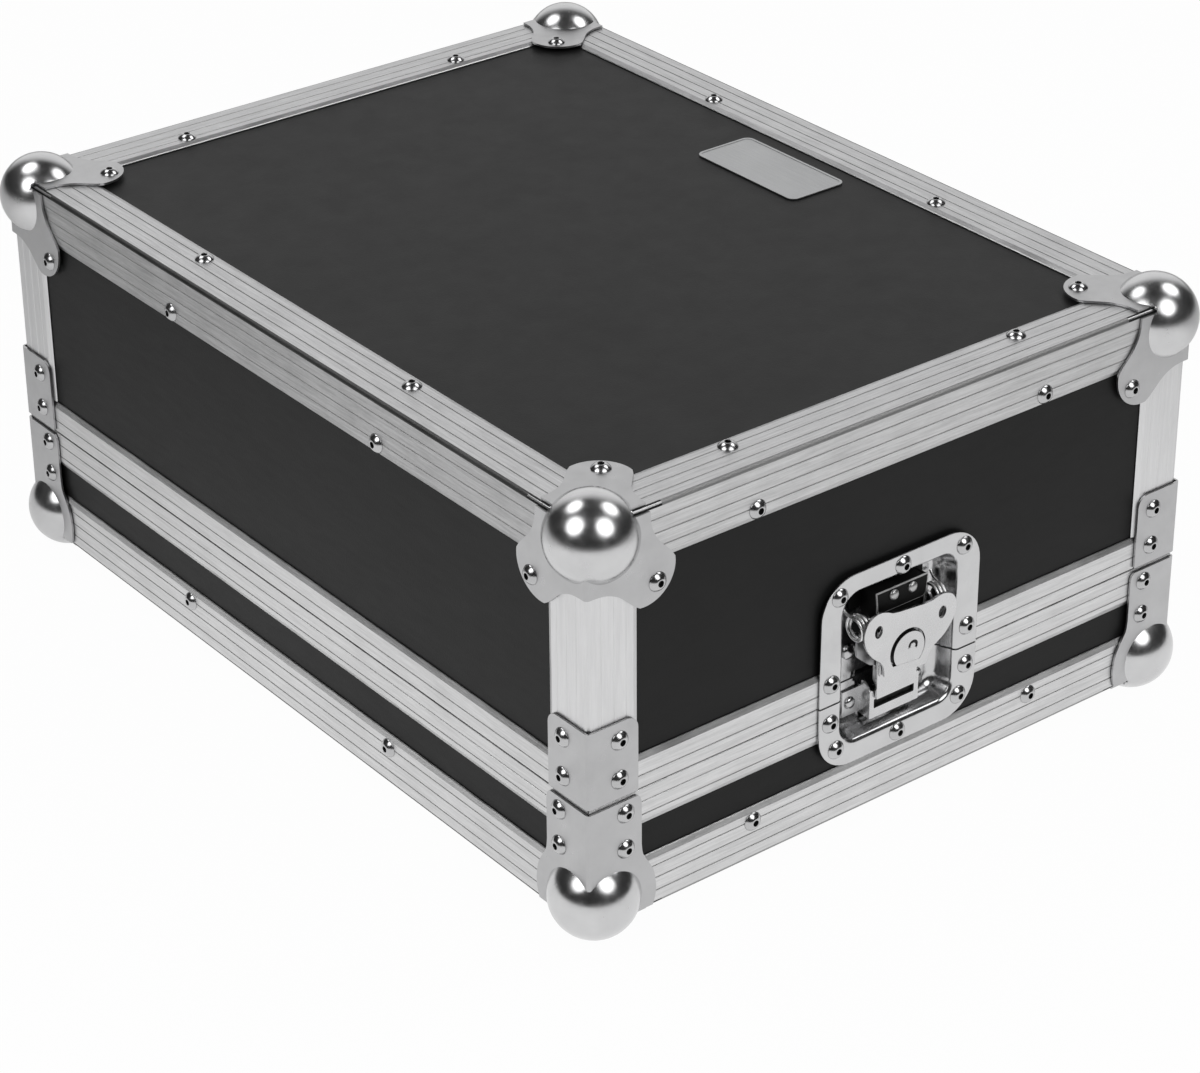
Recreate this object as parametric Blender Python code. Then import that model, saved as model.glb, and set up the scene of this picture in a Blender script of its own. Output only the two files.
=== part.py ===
"""Media player flight case: lift-off lid on a low tray, two recessed twist latches, ball corners.

The model is in metres, +Z up. Its origin is on the ground under the middle of the case.
X runs along the short sides and Y along the long ones. The driving sizes below are in
millimetres, and MM turns them into metres where a mesh is made. Rivet heads are part of the
piece that they are set in.
"""

import math

import bmesh
import bpy
from mathutils import Matrix, Vector

MM = 0.001

# Outer size of the case over its aluminium edges
CASE_X = 388.0
CASE_Y = 515.4
CASE_H = 220.0
SEAM_H = 70.0
HALF_X = CASE_X / 2
HALF_Y = CASE_Y / 2

# Gap kept between pieces that touch
GAP = 0.3

# Ball corners
BALL_R = 22.8
BALL_IN = 12.3
BALL_WALL = 1.3
BALL_OUT = BALL_R - BALL_IN
PLATE_OUT = 1.5
PLATE_IN = -0.5
CORNER_RIVET = 40.0
NOTCH_FROM = 26.0
NOTCH_TO = 44.0
NOTCH_W = 2.0
LEG_RIVET_IN = 21.0
LEG_RIVETS = (61.0, 41.0)

# Braces over the lid's lower corners
BRACE_W = 28.6
BRACE_FOOT = 1.2
BRACE_H = 43.0
BRACE_RIVET_IN = 17.5
BRACE_RIVETS = (33.0, 11.5)

# Double-angle edge extrusion
FLANGE = 30.0
EDGE_ROUND = 3.0
EDGE_WALL = 1.7
EDGE_BEVEL = 3.0
EDGE_TIP = 1.2
SLOT = 7.6
INNER_WALL = 1.2
INNER_REACH = 22.0
WEB_HALF = 1.13
MITRE_GAP = 0.25

# Tongue-and-groove closing extrusion
SEAM_GAP = 0.2
LID_BAR_H = 18.7
BASE_BAR_H = 21.0
BASE_BAR_INNER_H = 18.0
GROOVE_H = 7.0
WEB = 1.5
TONGUE_H = 5.5
TONGUE_FROM = 3.2
TONGUE_TO = 7.8
TONGUE_DRAFT = 0.5

# Laminated plywood panels
PANEL = 7.0
PANEL_OUT = EDGE_WALL + GAP
PANEL_IN = PANEL_OUT + PANEL
PANEL_END = 11.0

# Foam lining
FOAM_OUT = 10.8
FOAM_IN = 29.0
FOAM_STEP = 22.3
FOAM_BED_TOP = 30.0
FOAM_LID_FACE = 29.3
FOAM_SEAM = 1.0
FOAM_POCKET = 3.0

# Rivet heads
RIVET_R = 5.0
RIVET_TOP_R = 3.5
RIVET_H = 2.4
RIVET_SINK = 0.5
RIVET_SIDES = 8
EDGE_RIVET_ALONG = 93.0
EDGE_RIVET_IN = 22.0

# Latch dish
DISH_HALF_W = 52.3
DISH_LOW = 31.3
DISH_HIGH = 139.2
DISH_ROUND = 21.0
RECESS_HALF_W = 37.3
RECESS_LOW = 44.0
RECESS_HIGH = 127.6
RECESS_ROUND = 10.0
RECESS_DEPTH = 13.0
RECESS_DRAFT = 3.6
SHEET = 1.2
CUT_CLEAR = 1.9
UPPER_DISH_RIVETS = ((41.0, 129.6), (-41.0, 129.6), (0.0, 133.2), (45.0, 82.0), (-45.0, 82.0))
LOWER_DISH_RIVETS = ((45.2, 59.6), (-45.2, 59.6), (41.0, 42.9), (-41.0, 42.9), (0.0, 37.5))

# Twist latch
PIN_Z = 106.0
PIN_D = 4.0
PIN_R = 2.0
PIN_HALF = 33.0
SPIN_Z = 88.0
WING_TILT = 5.5
WING_FRONT = -5.5
WING_T = 1.5
FOLD_Z = 78.6
FOLD_D = -2.1
CAM_R = 7.5
CAM_OFF = 2.5
HOOK_FRONT = 1.5
HOOK_T = 1.5
HOOK_HALF_W = 13.3
CARRIER_FRONT = 3.6
CARRIER_HALF_W = 20.7

# Double torsion spring on the latch's pin
SPRING_CURLS = 5
SPRING_POINTS = 8
SPRING_PITCH = 2.1
SPRING_WIRE = 0.75
SPRING_R = 4.6
SPRING_START = 21.8

# Carrying handle on the right side
HANDLE_FACE = PANEL_OUT - GAP - SHEET
HANDLE_Z = 139.4
HANDLE_HALF_W = 76.0
HANDLE_HALF_H = 44.0
HANDLE_ROUND = 10.0
HANDLE_RECESS_HALF_W = 62.0
HANDLE_RECESS_HALF_H = 30.0
HANDLE_RECESS_DEPTH = 11.0
HANDLE_RIVETS = ((67.3, 35.4), (-67.3, 35.4), (67.3, -35.4), (-67.3, -35.4), (0.0, 37.2), (0.0, -37.2))
BAIL_R = 3.5
BAIL_HALF_W = 42.0
BAIL_BEND = 6.5
BAIL_TIP = 54.0
BAIL_PIVOT_Z = 162.0
BAIL_GRIP_Z = 131.0
BAIL_DEPTH = 5.0
LUG_FROM = 49.3
LUG_TO = 54.7
LUG_HALF = 4.9
GRIP_R = 5.5
GRIP_HALF = 34.0

# Plain plate on the lid
PLATE_X = 135.0
PLATE_Y = 0.3
PLATE_HALF_W = 19.3
PLATE_HALF_L = 41.0
PLATE_ROUND = 5.0
PLATE_T = 0.7

# Quarter turns about Z that take a piece of the front to another side
QUARTERS = {"front": 0, "right": 1, "rear": 2, "left": 3}
CORNERS = {"front_left": "front", "front_right": "right", "rear_right": "rear", "rear_left": "left"}

# Colour, roughness and metallic value of each material
FINISHES = {
    "laminate": ((0.030, 0.030, 0.032), 0.55, 0.0),
    "aluminium": ((0.80, 0.80, 0.81), 0.35, 1.0),
    "plated_steel": ((0.70, 0.70, 0.70), 0.28, 1.0),
    "spring_steel": ((0.60, 0.60, 0.60), 0.25, 1.0),
    "black_steel": ((0.02, 0.02, 0.02), 0.25, 0.6),
    "foam": ((0.05, 0.05, 0.055), 1.0, 0.0),
    "rubber": ((0.02, 0.02, 0.02), 0.7, 0.0),
    "plate": ((0.66, 0.67, 0.68), 0.4, 0.8),
}


# Shape helpers, all in millimetres

def loft(loops):
    """Return a closed bmesh through loops of equal length, capped at both ends."""
    bm = bmesh.new()
    rings = [[bm.verts.new(p) for p in loop] for loop in loops]
    for low, high in zip(rings, rings[1:]):
        for i, vert in enumerate(low):
            j = (i + 1) % len(low)
            bm.faces.new((vert, low[j], high[j], high[i]))
    bm.faces.new(reversed(rings[0]))
    bm.faces.new(rings[-1])
    bmesh.ops.recalc_face_normals(bm, faces=bm.faces)
    return bm


def prism(outline, low, high, axis):
    """Return an outline of (a, b) points drawn out from low to high along axis x, y or z."""
    place = {
        "x": lambda a, b, c: (c, a, b),
        "y": lambda a, b, c: (a, c, b),
        "z": lambda a, b, c: (a, b, c),
    }[axis]
    return loft([[place(a, b, c) for a, b in outline] for c in (low, high)])


def rectangle(low, high):
    """Return the outline between two corners."""
    return [(low[0], low[1]), (high[0], low[1]), (high[0], high[1]), (low[0], high[1])]


def block(low, high):
    """Return a box between two corners."""
    return prism(rectangle(low, high), low[2], high[2], "z")


def arc(centre, radius, start, end, steps):
    """Return points on a circle from start to end degrees, both included."""
    angles = [math.radians(start + (end - start) * i / steps) for i in range(steps + 1)]
    return [(centre[0] + radius * math.cos(t), centre[1] + radius * math.sin(t)) for t in angles]


def circle(centre, radius, sides):
    """Return a regular outline of that many sides."""
    return arc(centre, radius, 0, 360 - 360 / sides, sides - 1)


def rounded(low, high, radius, steps=4):
    """Return a rectangle with round corners."""
    x0, y0 = low[0] + radius, low[1] + radius
    x1, y1 = high[0] - radius, high[1] - radius
    return (
        arc((x1, y0), radius, -90, 0, steps)
        + arc((x1, y1), radius, 0, 90, steps)
        + arc((x0, y1), radius, 90, 180, steps)
        + arc((x0, y0), radius, 180, 270, steps)
    )


def mirrored(outline):
    """Return an outline drawn from its middle up the right side, with its left side added."""
    return outline + [(-a, b) for a, b in reversed(outline) if abs(a) > 1e-6]


def tube(path, radius, sides):
    """Return a round bar along a path, with flat ends."""
    points = [Vector(p) for p in path]
    loops = []
    across = None
    for i, point in enumerate(points):
        along = (points[min(i + 1, len(points) - 1)] - points[max(i - 1, 0)]).normalized()
        across = across or along.orthogonal().normalized()
        across = (across - along * across.dot(along)).normalized()
        other = along.cross(across)
        loops.append([
            point + (across * math.cos(t) + other * math.sin(t)) * radius
            for t in (2 * math.pi * k / sides for k in range(sides))
        ])
    return loft(loops)


def moved(bm, matrix):
    """Move a bmesh and keep its faces pointing out."""
    bmesh.ops.transform(bm, matrix=matrix, verts=bm.verts)
    if matrix.determinant() < 0:
        bmesh.ops.reverse_faces(bm, faces=bm.faces)
    return bm


def temporary(bm):
    """Return a scene object for a bmesh, for a modifier to work on."""
    mesh = bpy.data.meshes.new("work")
    bm.to_mesh(mesh)
    bm.free()
    obj = bpy.data.objects.new("work", mesh)
    bpy.context.scene.collection.objects.link(obj)
    return obj


def combined(first, others, operation):
    """Return the Boolean union or difference of a bmesh with others, as a new bmesh."""
    body = temporary(first)
    tools = [temporary(bm) for bm in others]
    for tool in tools:
        step = body.modifiers.new("step", "BOOLEAN")
        step.operation = operation
        step.object = tool
    evaluated = body.evaluated_get(bpy.context.evaluated_depsgraph_get())
    result = bmesh.new()
    result.from_mesh(evaluated.to_mesh())
    evaluated.to_mesh_clear()
    for obj in [body, *tools]:
        mesh = obj.data
        bpy.data.objects.remove(obj)
        bpy.data.meshes.remove(mesh)
    return result


def union(first, *others):
    """Join bmeshes into one body."""
    return combined(first, others, "UNION")


def difference(first, *others):
    """Cut bmeshes out of the first one."""
    return combined(first, others, "DIFFERENCE")


def material(finish_name):
    """Return the named finish as a Principled BSDF material, made once."""
    made = bpy.data.materials.get(finish_name)
    if made:
        return made
    colour, roughness, metallic = FINISHES[finish_name]
    made = bpy.data.materials.new(finish_name)
    made.use_nodes = True
    shader = made.node_tree.nodes["Principled BSDF"]
    shader.inputs["Base Color"].default_value = (*colour, 1.0)
    shader.inputs["Roughness"].default_value = roughness
    shader.inputs["Metallic"].default_value = metallic
    made.diffuse_color = (*colour, 1.0)
    return made


def finish(name, bm, finish_name, origin=(0.0, 0.0, 0.0), smooth=False):
    """Make a bmesh in millimetres the object of that name, with its origin where it turns."""
    centre = Vector(origin) * MM
    bmesh.ops.transform(bm, matrix=Matrix.Diagonal((MM, MM, MM, 1.0)), verts=bm.verts)
    bmesh.ops.translate(bm, vec=-centre, verts=bm.verts)
    mesh = bpy.data.meshes.new(name)
    bm.to_mesh(mesh)
    bm.free()
    if smooth:
        mesh.shade_smooth()
        mesh.set_sharp_from_angle(angle=math.radians(35))
    mesh.materials.append(material(finish_name))
    obj = bpy.data.objects.new(name, mesh)
    obj.location = centre
    bpy.context.scene.collection.objects.link(obj)
    return obj


# Places

def up(height):
    """Return a height above the ground for one above the case's underside."""
    return BALL_OUT + height


def turn(side):
    """Return the turn about Z that takes a piece of the front to another side."""
    return Matrix.Rotation(math.radians(90 * QUARTERS[side]), 4, "Z")


def half_depth(side):
    """Return how far the outer face of a side is from the middle."""
    return HALF_Y if side in ("front", "rear") else HALF_X


def half_width(side):
    """Return half the length of a side."""
    return HALF_X if side in ("front", "rear") else HALF_Y


def outward(side):
    """Return the direction that a side faces."""
    return turn(side) @ Vector((0, -1, 0))


def from_face(a, depth, height, side="front"):
    """Return the point a along a side, depth inwards from its face, at a height on the case."""
    return turn(side) @ Vector((a, depth - half_depth(side), up(height)))


def face_prism(outline, low, high, side="front"):
    """Draw an outline of (along, height) points from depth low to high behind a side's face."""
    shift = half_depth(side)
    raised = [(a, up(b)) for a, b in outline]
    return moved(prism(raised, low - shift, high - shift, "y"), turn(side))


def rivet(point, normal, radius=RIVET_R, top=RIVET_TOP_R, height=RIVET_H):
    """Return one rivet head, sunk a little into the face that it stands on."""
    loops = [[(*p, level) for p in circle((0, 0), r, RIVET_SIDES)]
             for r, level in ((radius, -RIVET_SINK), (top, height))]
    lean = Vector(normal).to_track_quat("Z", "Y").to_matrix().to_4x4()
    return moved(loft(loops), Matrix.Translation(point) @ lean)


def small_rivet(point, normal):
    """Return a small rivet head."""
    return rivet(point, normal, 2.8, 2.0, 1.2)


def at_corner(bm, corner, z, flip=1):
    """Move a piece drawn at the front left corner to another, upside down if flip is -1."""
    side = CORNERS[corner]
    here = turn(side) @ Vector((-half_width(side), -half_depth(side), z))
    return moved(bm, Matrix.Translation(here) @ turn(side) @ Matrix.Diagonal((1, 1, flip, 1)))


# Edges and panels

def edge_profile():
    """Return the double-angle section as (in from the side, in from the top) points."""
    slot_in = EDGE_WALL + SLOT
    inner = slot_in + INNER_WALL
    round_part = [
        (EDGE_ROUND - EDGE_ROUND * math.sin(t), EDGE_ROUND - EDGE_ROUND * math.cos(t))
        for t in (math.radians(45), math.radians(15))
    ]
    half = round_part + [
        (FLANGE - EDGE_BEVEL, 0.0),
        (FLANGE, EDGE_TIP),
        (FLANGE, EDGE_WALL),
        (EDGE_WALL + WEB_HALF, EDGE_WALL),
        (slot_in + WEB_HALF, slot_in),
        (INNER_REACH, slot_in),
        (INNER_REACH, inner),
        (inner, inner),
    ]
    return half + [(v, u) for u, v in reversed(half[1:-1])]


def edge_bar(side, z_of, rivet_height, flat, flat_normal):
    """Return a side's top or bottom extrusion, mitred, with two rivets in each flange."""
    reach = half_width(side) - MITRE_GAP
    depth = half_depth(side)
    ends = [[(sign * (reach - u), u - depth, z_of(v)) for u, v in edge_profile()]
            for sign in (-1, 1)]
    rivets = []
    for a in (-EDGE_RIVET_ALONG, EDGE_RIVET_ALONG):
        rivets.append(rivet(from_face(a, 0, rivet_height, side), outward(side)))
        rivets.append(rivet(from_face(a, EDGE_RIVET_IN, flat, side), flat_normal))
    return union(moved(loft(ends), turn(side)), *rivets)


def top_edge(side):
    """Return the edge extrusion at the top of a side."""
    return edge_bar(side, lambda v: up(CASE_H - v), CASE_H - EDGE_RIVET_IN, CASE_H, (0, 0, 1))


def bottom_edge(side):
    """Return the edge extrusion at the foot of a side."""
    return edge_bar(side, up, EDGE_RIVET_IN, 0.0, (0, 0, -1))


def corner_post():
    """Return a lid's corner post, drawn at the front left corner above the seam."""
    return prism(edge_profile(), LID_BAR_H + GAP, CASE_H - FLANGE - GAP - SEAM_H, "z")


def lid_bar_profile():
    """Return the lid's closing section, with the groove under it, as (in, up) points."""
    inner = EDGE_WALL + SLOT
    back = inner + INNER_WALL
    web_top = GROOVE_H + WEB
    return [
        (0.0, SEAM_GAP), (0.0, LID_BAR_H - EDGE_BEVEL), (EDGE_TIP, LID_BAR_H),
        (EDGE_WALL, LID_BAR_H), (EDGE_WALL, web_top), (inner, web_top), (inner, LID_BAR_H),
        (back, LID_BAR_H), (back, SEAM_GAP), (inner, SEAM_GAP), (inner, GROOVE_H),
        (EDGE_WALL, GROOVE_H), (EDGE_WALL, SEAM_GAP),
    ]


def base_bar_profile():
    """Return the base's closing section, with the tongue on it, as (in, up) points."""
    inner = EDGE_WALL + SLOT
    back = inner + INNER_WALL
    return [
        (0.0, -SEAM_GAP), (TONGUE_FROM, -SEAM_GAP), (TONGUE_FROM + TONGUE_DRAFT, TONGUE_H),
        (TONGUE_TO - TONGUE_DRAFT, TONGUE_H), (TONGUE_TO, -SEAM_GAP), (back, -SEAM_GAP),
        (back, -BASE_BAR_INNER_H), (inner, -BASE_BAR_INNER_H), (inner, -WEB - SEAM_GAP),
        (EDGE_WALL, -WEB - SEAM_GAP), (EDGE_WALL, -BASE_BAR_H), (EDGE_TIP, -BASE_BAR_H),
        (0.0, EDGE_BEVEL - BASE_BAR_H),
    ]


def closing_bar(profile, sign):
    """Return one side's closing bar, notched and folded round two corners to the latch dishes."""
    start = RECESS_HALF_W + CUT_CLEAR
    loops = []
    for x_of, y_sign in ((lambda u: start, -1), (lambda u: HALF_X - u, -1),
                         (lambda u: HALF_X - u, 1), (lambda u: start, 1)):
        loops.append([(sign * x_of(u), y_sign * (HALF_Y - u), up(SEAM_H + v)) for u, v in profile])
    return loft(loops)


def side_panel(side, reach, low, high, notch=None):
    """Return a side's panel between two heights, with a notch (half width, low, high) if given."""
    panel = face_prism(rectangle((-reach, low), (reach, high)), PANEL_OUT, PANEL_IN, side)
    if notch:
        wide, bottom, top = notch
        hole = rectangle((-wide, bottom), (wide, top))
        panel = difference(panel, face_prism(hole, PANEL_OUT - 1, PANEL_IN + 1, side))
    return panel


def flat_panel(low, high):
    """Return the top or floor panel between two heights."""
    x, y = HALF_X - PANEL_END, HALF_Y - PANEL_END
    return block((-x, -y, up(low)), (x, y, up(high)))


# Corner hardware, drawn at a front-left corner with its faces in the planes through zero

def lobe_outline():
    """Return the outline of a three-way plate's face, alike along both edges."""
    flare = [(36.0, 5.0), (36.8, 10.5), (40.0, 17.5), (45.0, 22.8)]
    lobe = arc((32.3, 32.3), 18.3, -15, 105, 6)
    start = [(-PLATE_OUT, -PLATE_OUT), (35.8, -PLATE_OUT)]
    return start + flare + lobe + [(b, a) for a, b in reversed(flare)] + [(-PLATE_OUT, 35.8)]


def leg_outline():
    """Return the outline of a base corner's upright face, with the leg up to the seam."""
    return [
        (-PLATE_OUT, -PLATE_OUT), (35.4, -PLATE_OUT), (37.4, 2.0), (39.2, 9.0), (39.2, 14.5),
        (37.8, 22.0), (34.4, 28.5), (31.4, 33.5), (30.6, 38.0), (30.6, 65.0), (28.8, 68.2),
        (-PLATE_OUT, 68.2),
    ]


def folded_plates(upright):
    """Return two plates that meet at a corner's upright edge."""
    low, high = -PLATE_OUT, -PLATE_IN
    return [prism(upright, low, high, axis) for axis in ("x", "y")]


def upright_rivets(places):
    """Return rivet heads at (in, up) places on both upright faces of a corner."""
    rivets = []
    for across, height in places:
        rivets.append(rivet((across, -PLATE_OUT, height), (0, -1, 0)))
        rivets.append(rivet((-PLATE_OUT, across, height), (-1, 0, 0)))
    return rivets


def sphere(radius, segments, rings):
    """Return the ball of a ball corner at some radius."""
    bm = bmesh.new()
    bmesh.ops.create_uvsphere(bm, u_segments=segments, v_segments=rings, radius=radius)
    bmesh.ops.translate(bm, vec=(BALL_IN, BALL_IN, BALL_IN), verts=bm.verts)
    return bm


def ball_corner(upright, rivet_places):
    """Return a ball corner: a hollow ball on three folded plates, slotted along two edges."""
    flat = prism(lobe_outline(), -PLATE_OUT, -PLATE_IN, "z")
    shell = union(sphere(BALL_R, 16, 10), flat, *folded_plates(upright))
    inside = block((-GAP, -GAP, -GAP), (90, 90, 90))
    notches = [
        block((NOTCH_FROM, -5, -5), (NOTCH_TO, NOTCH_W, NOTCH_W)),
        block((-5, NOTCH_FROM, -5), (NOTCH_W, NOTCH_TO, NOTCH_W)),
    ]
    shell = difference(shell, sphere(BALL_R - BALL_WALL, 12, 6), inside, *notches)
    flat_rivet = rivet((CORNER_RIVET, CORNER_RIVET, -PLATE_OUT), (0, 0, -1))
    return union(shell, flat_rivet, *upright_rivets(rivet_places))


def lid_brace():
    """Return the folded plate over a lid's lower corner, from the seam up."""
    face = [(-PLATE_OUT, BRACE_FOOT), (BRACE_W, BRACE_FOOT), (BRACE_W, BRACE_H - 5.0),
            (BRACE_W - 1.8, BRACE_H - 1.4), (BRACE_W - 6.0, BRACE_H), (-PLATE_OUT, BRACE_H)]
    plates = union(*folded_plates(face))
    plates = difference(plates, block((-GAP, -GAP, -5), (60, 60, 60)))
    return union(plates, *upright_rivets([(BRACE_RIVET_IN, z) for z in BRACE_RIVETS]))


# Latch; its depths count inwards from the dish's rim

def rim(depth):
    """Return the depth behind the case's face for one behind the dish's rim."""
    return depth - PLATE_OUT


def latch_prism(outline, low, high, side):
    """Draw an outline of (along, height) points between two depths behind the rim."""
    return face_prism(outline, rim(low), rim(high), side)


def latch_slab(outline, low, high, side):
    """Draw an outline of (depth behind the rim, height) points along the side."""
    shift = half_depth(side)
    raised = [(rim(d) - shift, up(z)) for d, z in outline]
    return moved(prism(raised, low, high, "x"), turn(side))


def latch_pair(outline, low, high, side):
    """Return a slab between two distances from the middle, and its mirror image."""
    return [latch_slab(outline, low, high, side), latch_slab(outline, -high, -low, side)]


def latch_point(a, depth, height, side):
    """Return a latch point as the case's own coordinates."""
    return from_face(a, rim(depth), height, side)


def dish(outer, recess, depth, draft, side, face_depth):
    """Return a pressed dish: a flat rim round a drafted recess with a flat floor.

    outer and recess are (low, high, radius) rectangles, and face_depth is the rim's depth
    behind the case's face.
    """
    def ring(rect, grow, level):
        low, high, radius = rect
        corners = rounded(
            (low[0] - grow, low[1] - grow), (high[0] + grow, high[1] + grow), radius + grow)
        return [from_face(a, face_depth + level, b, side) for a, b in corners]

    loops = [
        ring(recess, -draft, depth),
        ring(recess, 0.0, 0.8),
        ring(recess, 1.0, 0.0),
        ring(outer, 0.0, 0.0),
        ring(outer, 0.0, SHEET),
        ring(recess, SHEET, SHEET),
        ring(recess, SHEET - draft, depth + SHEET),
    ]
    return loft(loops)


def latch_dish(side, away, rivets):
    """Return a latch dish without its part in the outline away, with its rim's rivets."""
    whole = dish(
        ((-DISH_HALF_W, DISH_LOW), (DISH_HALF_W, DISH_HIGH), DISH_ROUND),
        ((-RECESS_HALF_W, RECESS_LOW), (RECESS_HALF_W, RECESS_HIGH), RECESS_ROUND),
        RECESS_DEPTH, RECESS_DRAFT, side, rim(0.0),
    )
    half = difference(whole, face_prism(away, -20, 40, side))
    return union(half, *[rivet(latch_point(a, 0, z, side), outward(side)) for a, z in rivets])


def dish_upper(side):
    """Return the lid's part of a latch dish, with two small rivets in its floor."""
    away = rectangle((-90, -20), (90, SEAM_H + SEAM_GAP))
    small = [small_rivet(latch_point(a, RECESS_DEPTH, 87.0, side), outward(side))
             for a in (-24.5, 24.5)]
    return union(latch_dish(side, away, UPPER_DISH_RIVETS), *small)


def dish_lower(side):
    """Return the base's part of a latch dish, with the keeper riveted to its floor."""
    away = rectangle((-90, SEAM_H - SEAM_GAP), (90, 200))
    plate = difference(
        latch_prism(rectangle((-15.4, 48.0), (15.4, 66.0)), 3.3, 4.8, side),
        latch_prism(rectangle((-12.4, 53.0), (12.4, 61.3)), 0, 10, side),
    )
    sunk = RECESS_DEPTH + 0.4
    wall = [(sunk, 48.6), (3.5, 48.3), (1.2, 58.5), (1.2, 64.6), (3.5, 65.8), (sunk, 67.9)]
    foot = [(RECESS_DEPTH - 1.4, 50.0), (sunk, 50.0), (sunk, 66.5), (RECESS_DEPTH - 1.4, 66.5)]
    keeper = union(plate, *latch_pair(wall, 14.0, 15.3, side), *latch_pair(foot, 14.6, 27.0, side))
    small = [small_rivet(latch_point(a, RECESS_DEPTH - 1.4, 58.2, side), outward(side))
             for a in (-21.8, 21.8)]
    return union(latch_dish(side, away, LOWER_DISH_RIVETS), keeper, *small)


def latch_mount(side):
    """Return the bracket with the hinge pin staked in it."""
    pad = latch_prism(rectangle((-16.5, 110.5), (16.5, 123.5)), 0, 1.5, side)
    cheek = [(0.2, 123.3), (0.2, 110.7), (0.6, 102.6), (2.4, 100.9), (5.6, 100.9), (7.6, 102.6),
             (12.7, 110.7), (12.7, 123.3)]
    foot = [(11.5, 111.5), (12.6, 111.5), (12.6, 122.5), (11.5, 122.5)]
    axis = (PIN_D, PIN_Z)
    pin = latch_slab(circle(axis, PIN_R, 12), -PIN_HALF, PIN_HALF, side)
    heads = latch_pair(circle(axis, PIN_R + 1.2, 12), PIN_HALF - 1.5, PIN_HALF + 0.3, side)
    rivets = [small_rivet(latch_point(a, 0, 119.0, side), outward(side)) for a in (-6.2, 6.2)]
    return union(pad, *latch_pair(cheek, 15.0, 16.4, side), *latch_pair(foot, 15.5, 24.0, side),
                 pin, *heads, *rivets)


def spring_half():
    """Return half of the spring's route, from the middle of its bridge to its outer end."""
    low = PIN_Z - 9.2
    bridge = [(0.0, 6.4, low), (10.0, 6.4, low), (19.0, 6.4, low), (20.7, 6.5, low + 0.3),
              (SPRING_START - 0.3, 7.0, low + 1.5), (SPRING_START, 7.8, low + 4.0),
              (SPRING_START, 8.4, low + 6.6)]
    coil = []
    for i in range(SPRING_CURLS * SPRING_POINTS + 1):
        t = 2 * math.pi * i / SPRING_POINTS
        along = SPRING_START + SPRING_PITCH * i / SPRING_POINTS
        coil.append((along, PIN_D + SPRING_R * math.cos(t), PIN_Z + SPRING_R * math.sin(t)))
    end = coil[-1][0]
    leg = [(end, 8.9, PIN_Z + 3.0), (end, 10.2, PIN_Z + 7.5), (end, 11.2, PIN_Z + 11.0)]
    return bridge + coil + leg


def spring_gap(route):
    """Return the least clear distance between turns of a spring's wire."""
    points = [Vector(p) for p in route]
    least = min(
        (points[i] - points[j]).length
        for i in range(len(points)) for j in range(i + SPRING_POINTS // 2, len(points))
    )
    return least - 2 * SPRING_WIRE


def latch_spring(side):
    """Return the double torsion spring: two coils on the pin, joined behind the carrier."""
    half = spring_half()
    route = [(-a, d, z) for a, d, z in reversed(half[1:])] + half
    if side == "front":
        print(f"the latch spring's wire clears itself by {spring_gap(half):.2f} mm")
    return tube([latch_point(a, d, z, side) for a, d, z in route], SPRING_WIRE, 6)


def latch_carrier(side):
    """Return the hinged plate that carries the hook and the spindle."""
    w = CARRIER_HALF_W
    front = CARRIER_FRONT
    back = front + 1.5
    outline = mirrored([(0, 80.0), (13.0, 80.0), (w, 86.0), (w, 98.0), (0, 98.0)])
    ear = [(front + 0.1, 87.0), (back - 0.1, 87.0), (back, 99.5), (8.0, 102.5), (8.3, 106.0),
           (7.0, 109.0), (4.0, 110.2), (1.0, 109.0), (-0.3, 106.0), (0.6, 102.6), (front, 99.0)]
    tab = [(HOOK_FRONT, 84.0), (front + 1, 83.0), (front + 1, 93.0), (HOOK_FRONT, 92.0)]
    body = union(
        latch_prism(outline, front, back, side),
        *latch_pair(ear, w - 1.5, w - 0.05, side), *latch_pair(tab, 13.7, 15.2, side),
    )
    return difference(
        body,
        latch_slab(circle((PIN_D, PIN_Z), PIN_R + GAP, 12), -30, 30, side),
        latch_prism(circle((0, SPIN_Z), 5.4, 16), 0, 20, side),
    )


def latch_hook(side):
    """Return the sliding hook plate, with the cam's window and its stiffening lips."""
    w = HOOK_HALF_W
    outline = mirrored([(0, 60.5), (w, 60.5), (w, 99.0), (w - 3, 102.0), (0, 102.0)])
    lip = [(HOOK_FRONT + 1, 63.0), (HOOK_FRONT - 2.0, 64.0), (HOOK_FRONT - 2.0, 72.0),
           (HOOK_FRONT + 1, 73.0)]
    body = union(latch_prism(outline, HOOK_FRONT, HOOK_FRONT + HOOK_T, side),
                 *latch_pair(lip, w - 1.25, w - 0.05, side))
    cam_z = SPIN_Z + CAM_OFF
    wide, tall = CAM_R + CAM_OFF + 0.4, CAM_R + 1.0
    window = rectangle((-wide, cam_z - tall), (wide, cam_z + tall))
    return difference(body, latch_prism(window, -10, 20, side))


def tilted(bm, side):
    """Turn a piece about the spindle by the wing's lean at rest."""
    centre = latch_point(0, 0, SPIN_Z, side)
    lean = Matrix.Rotation(math.radians(WING_TILT), 4, -outward(side))
    return moved(bm, Matrix.Translation(centre) @ lean @ Matrix.Translation(-centre))


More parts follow.
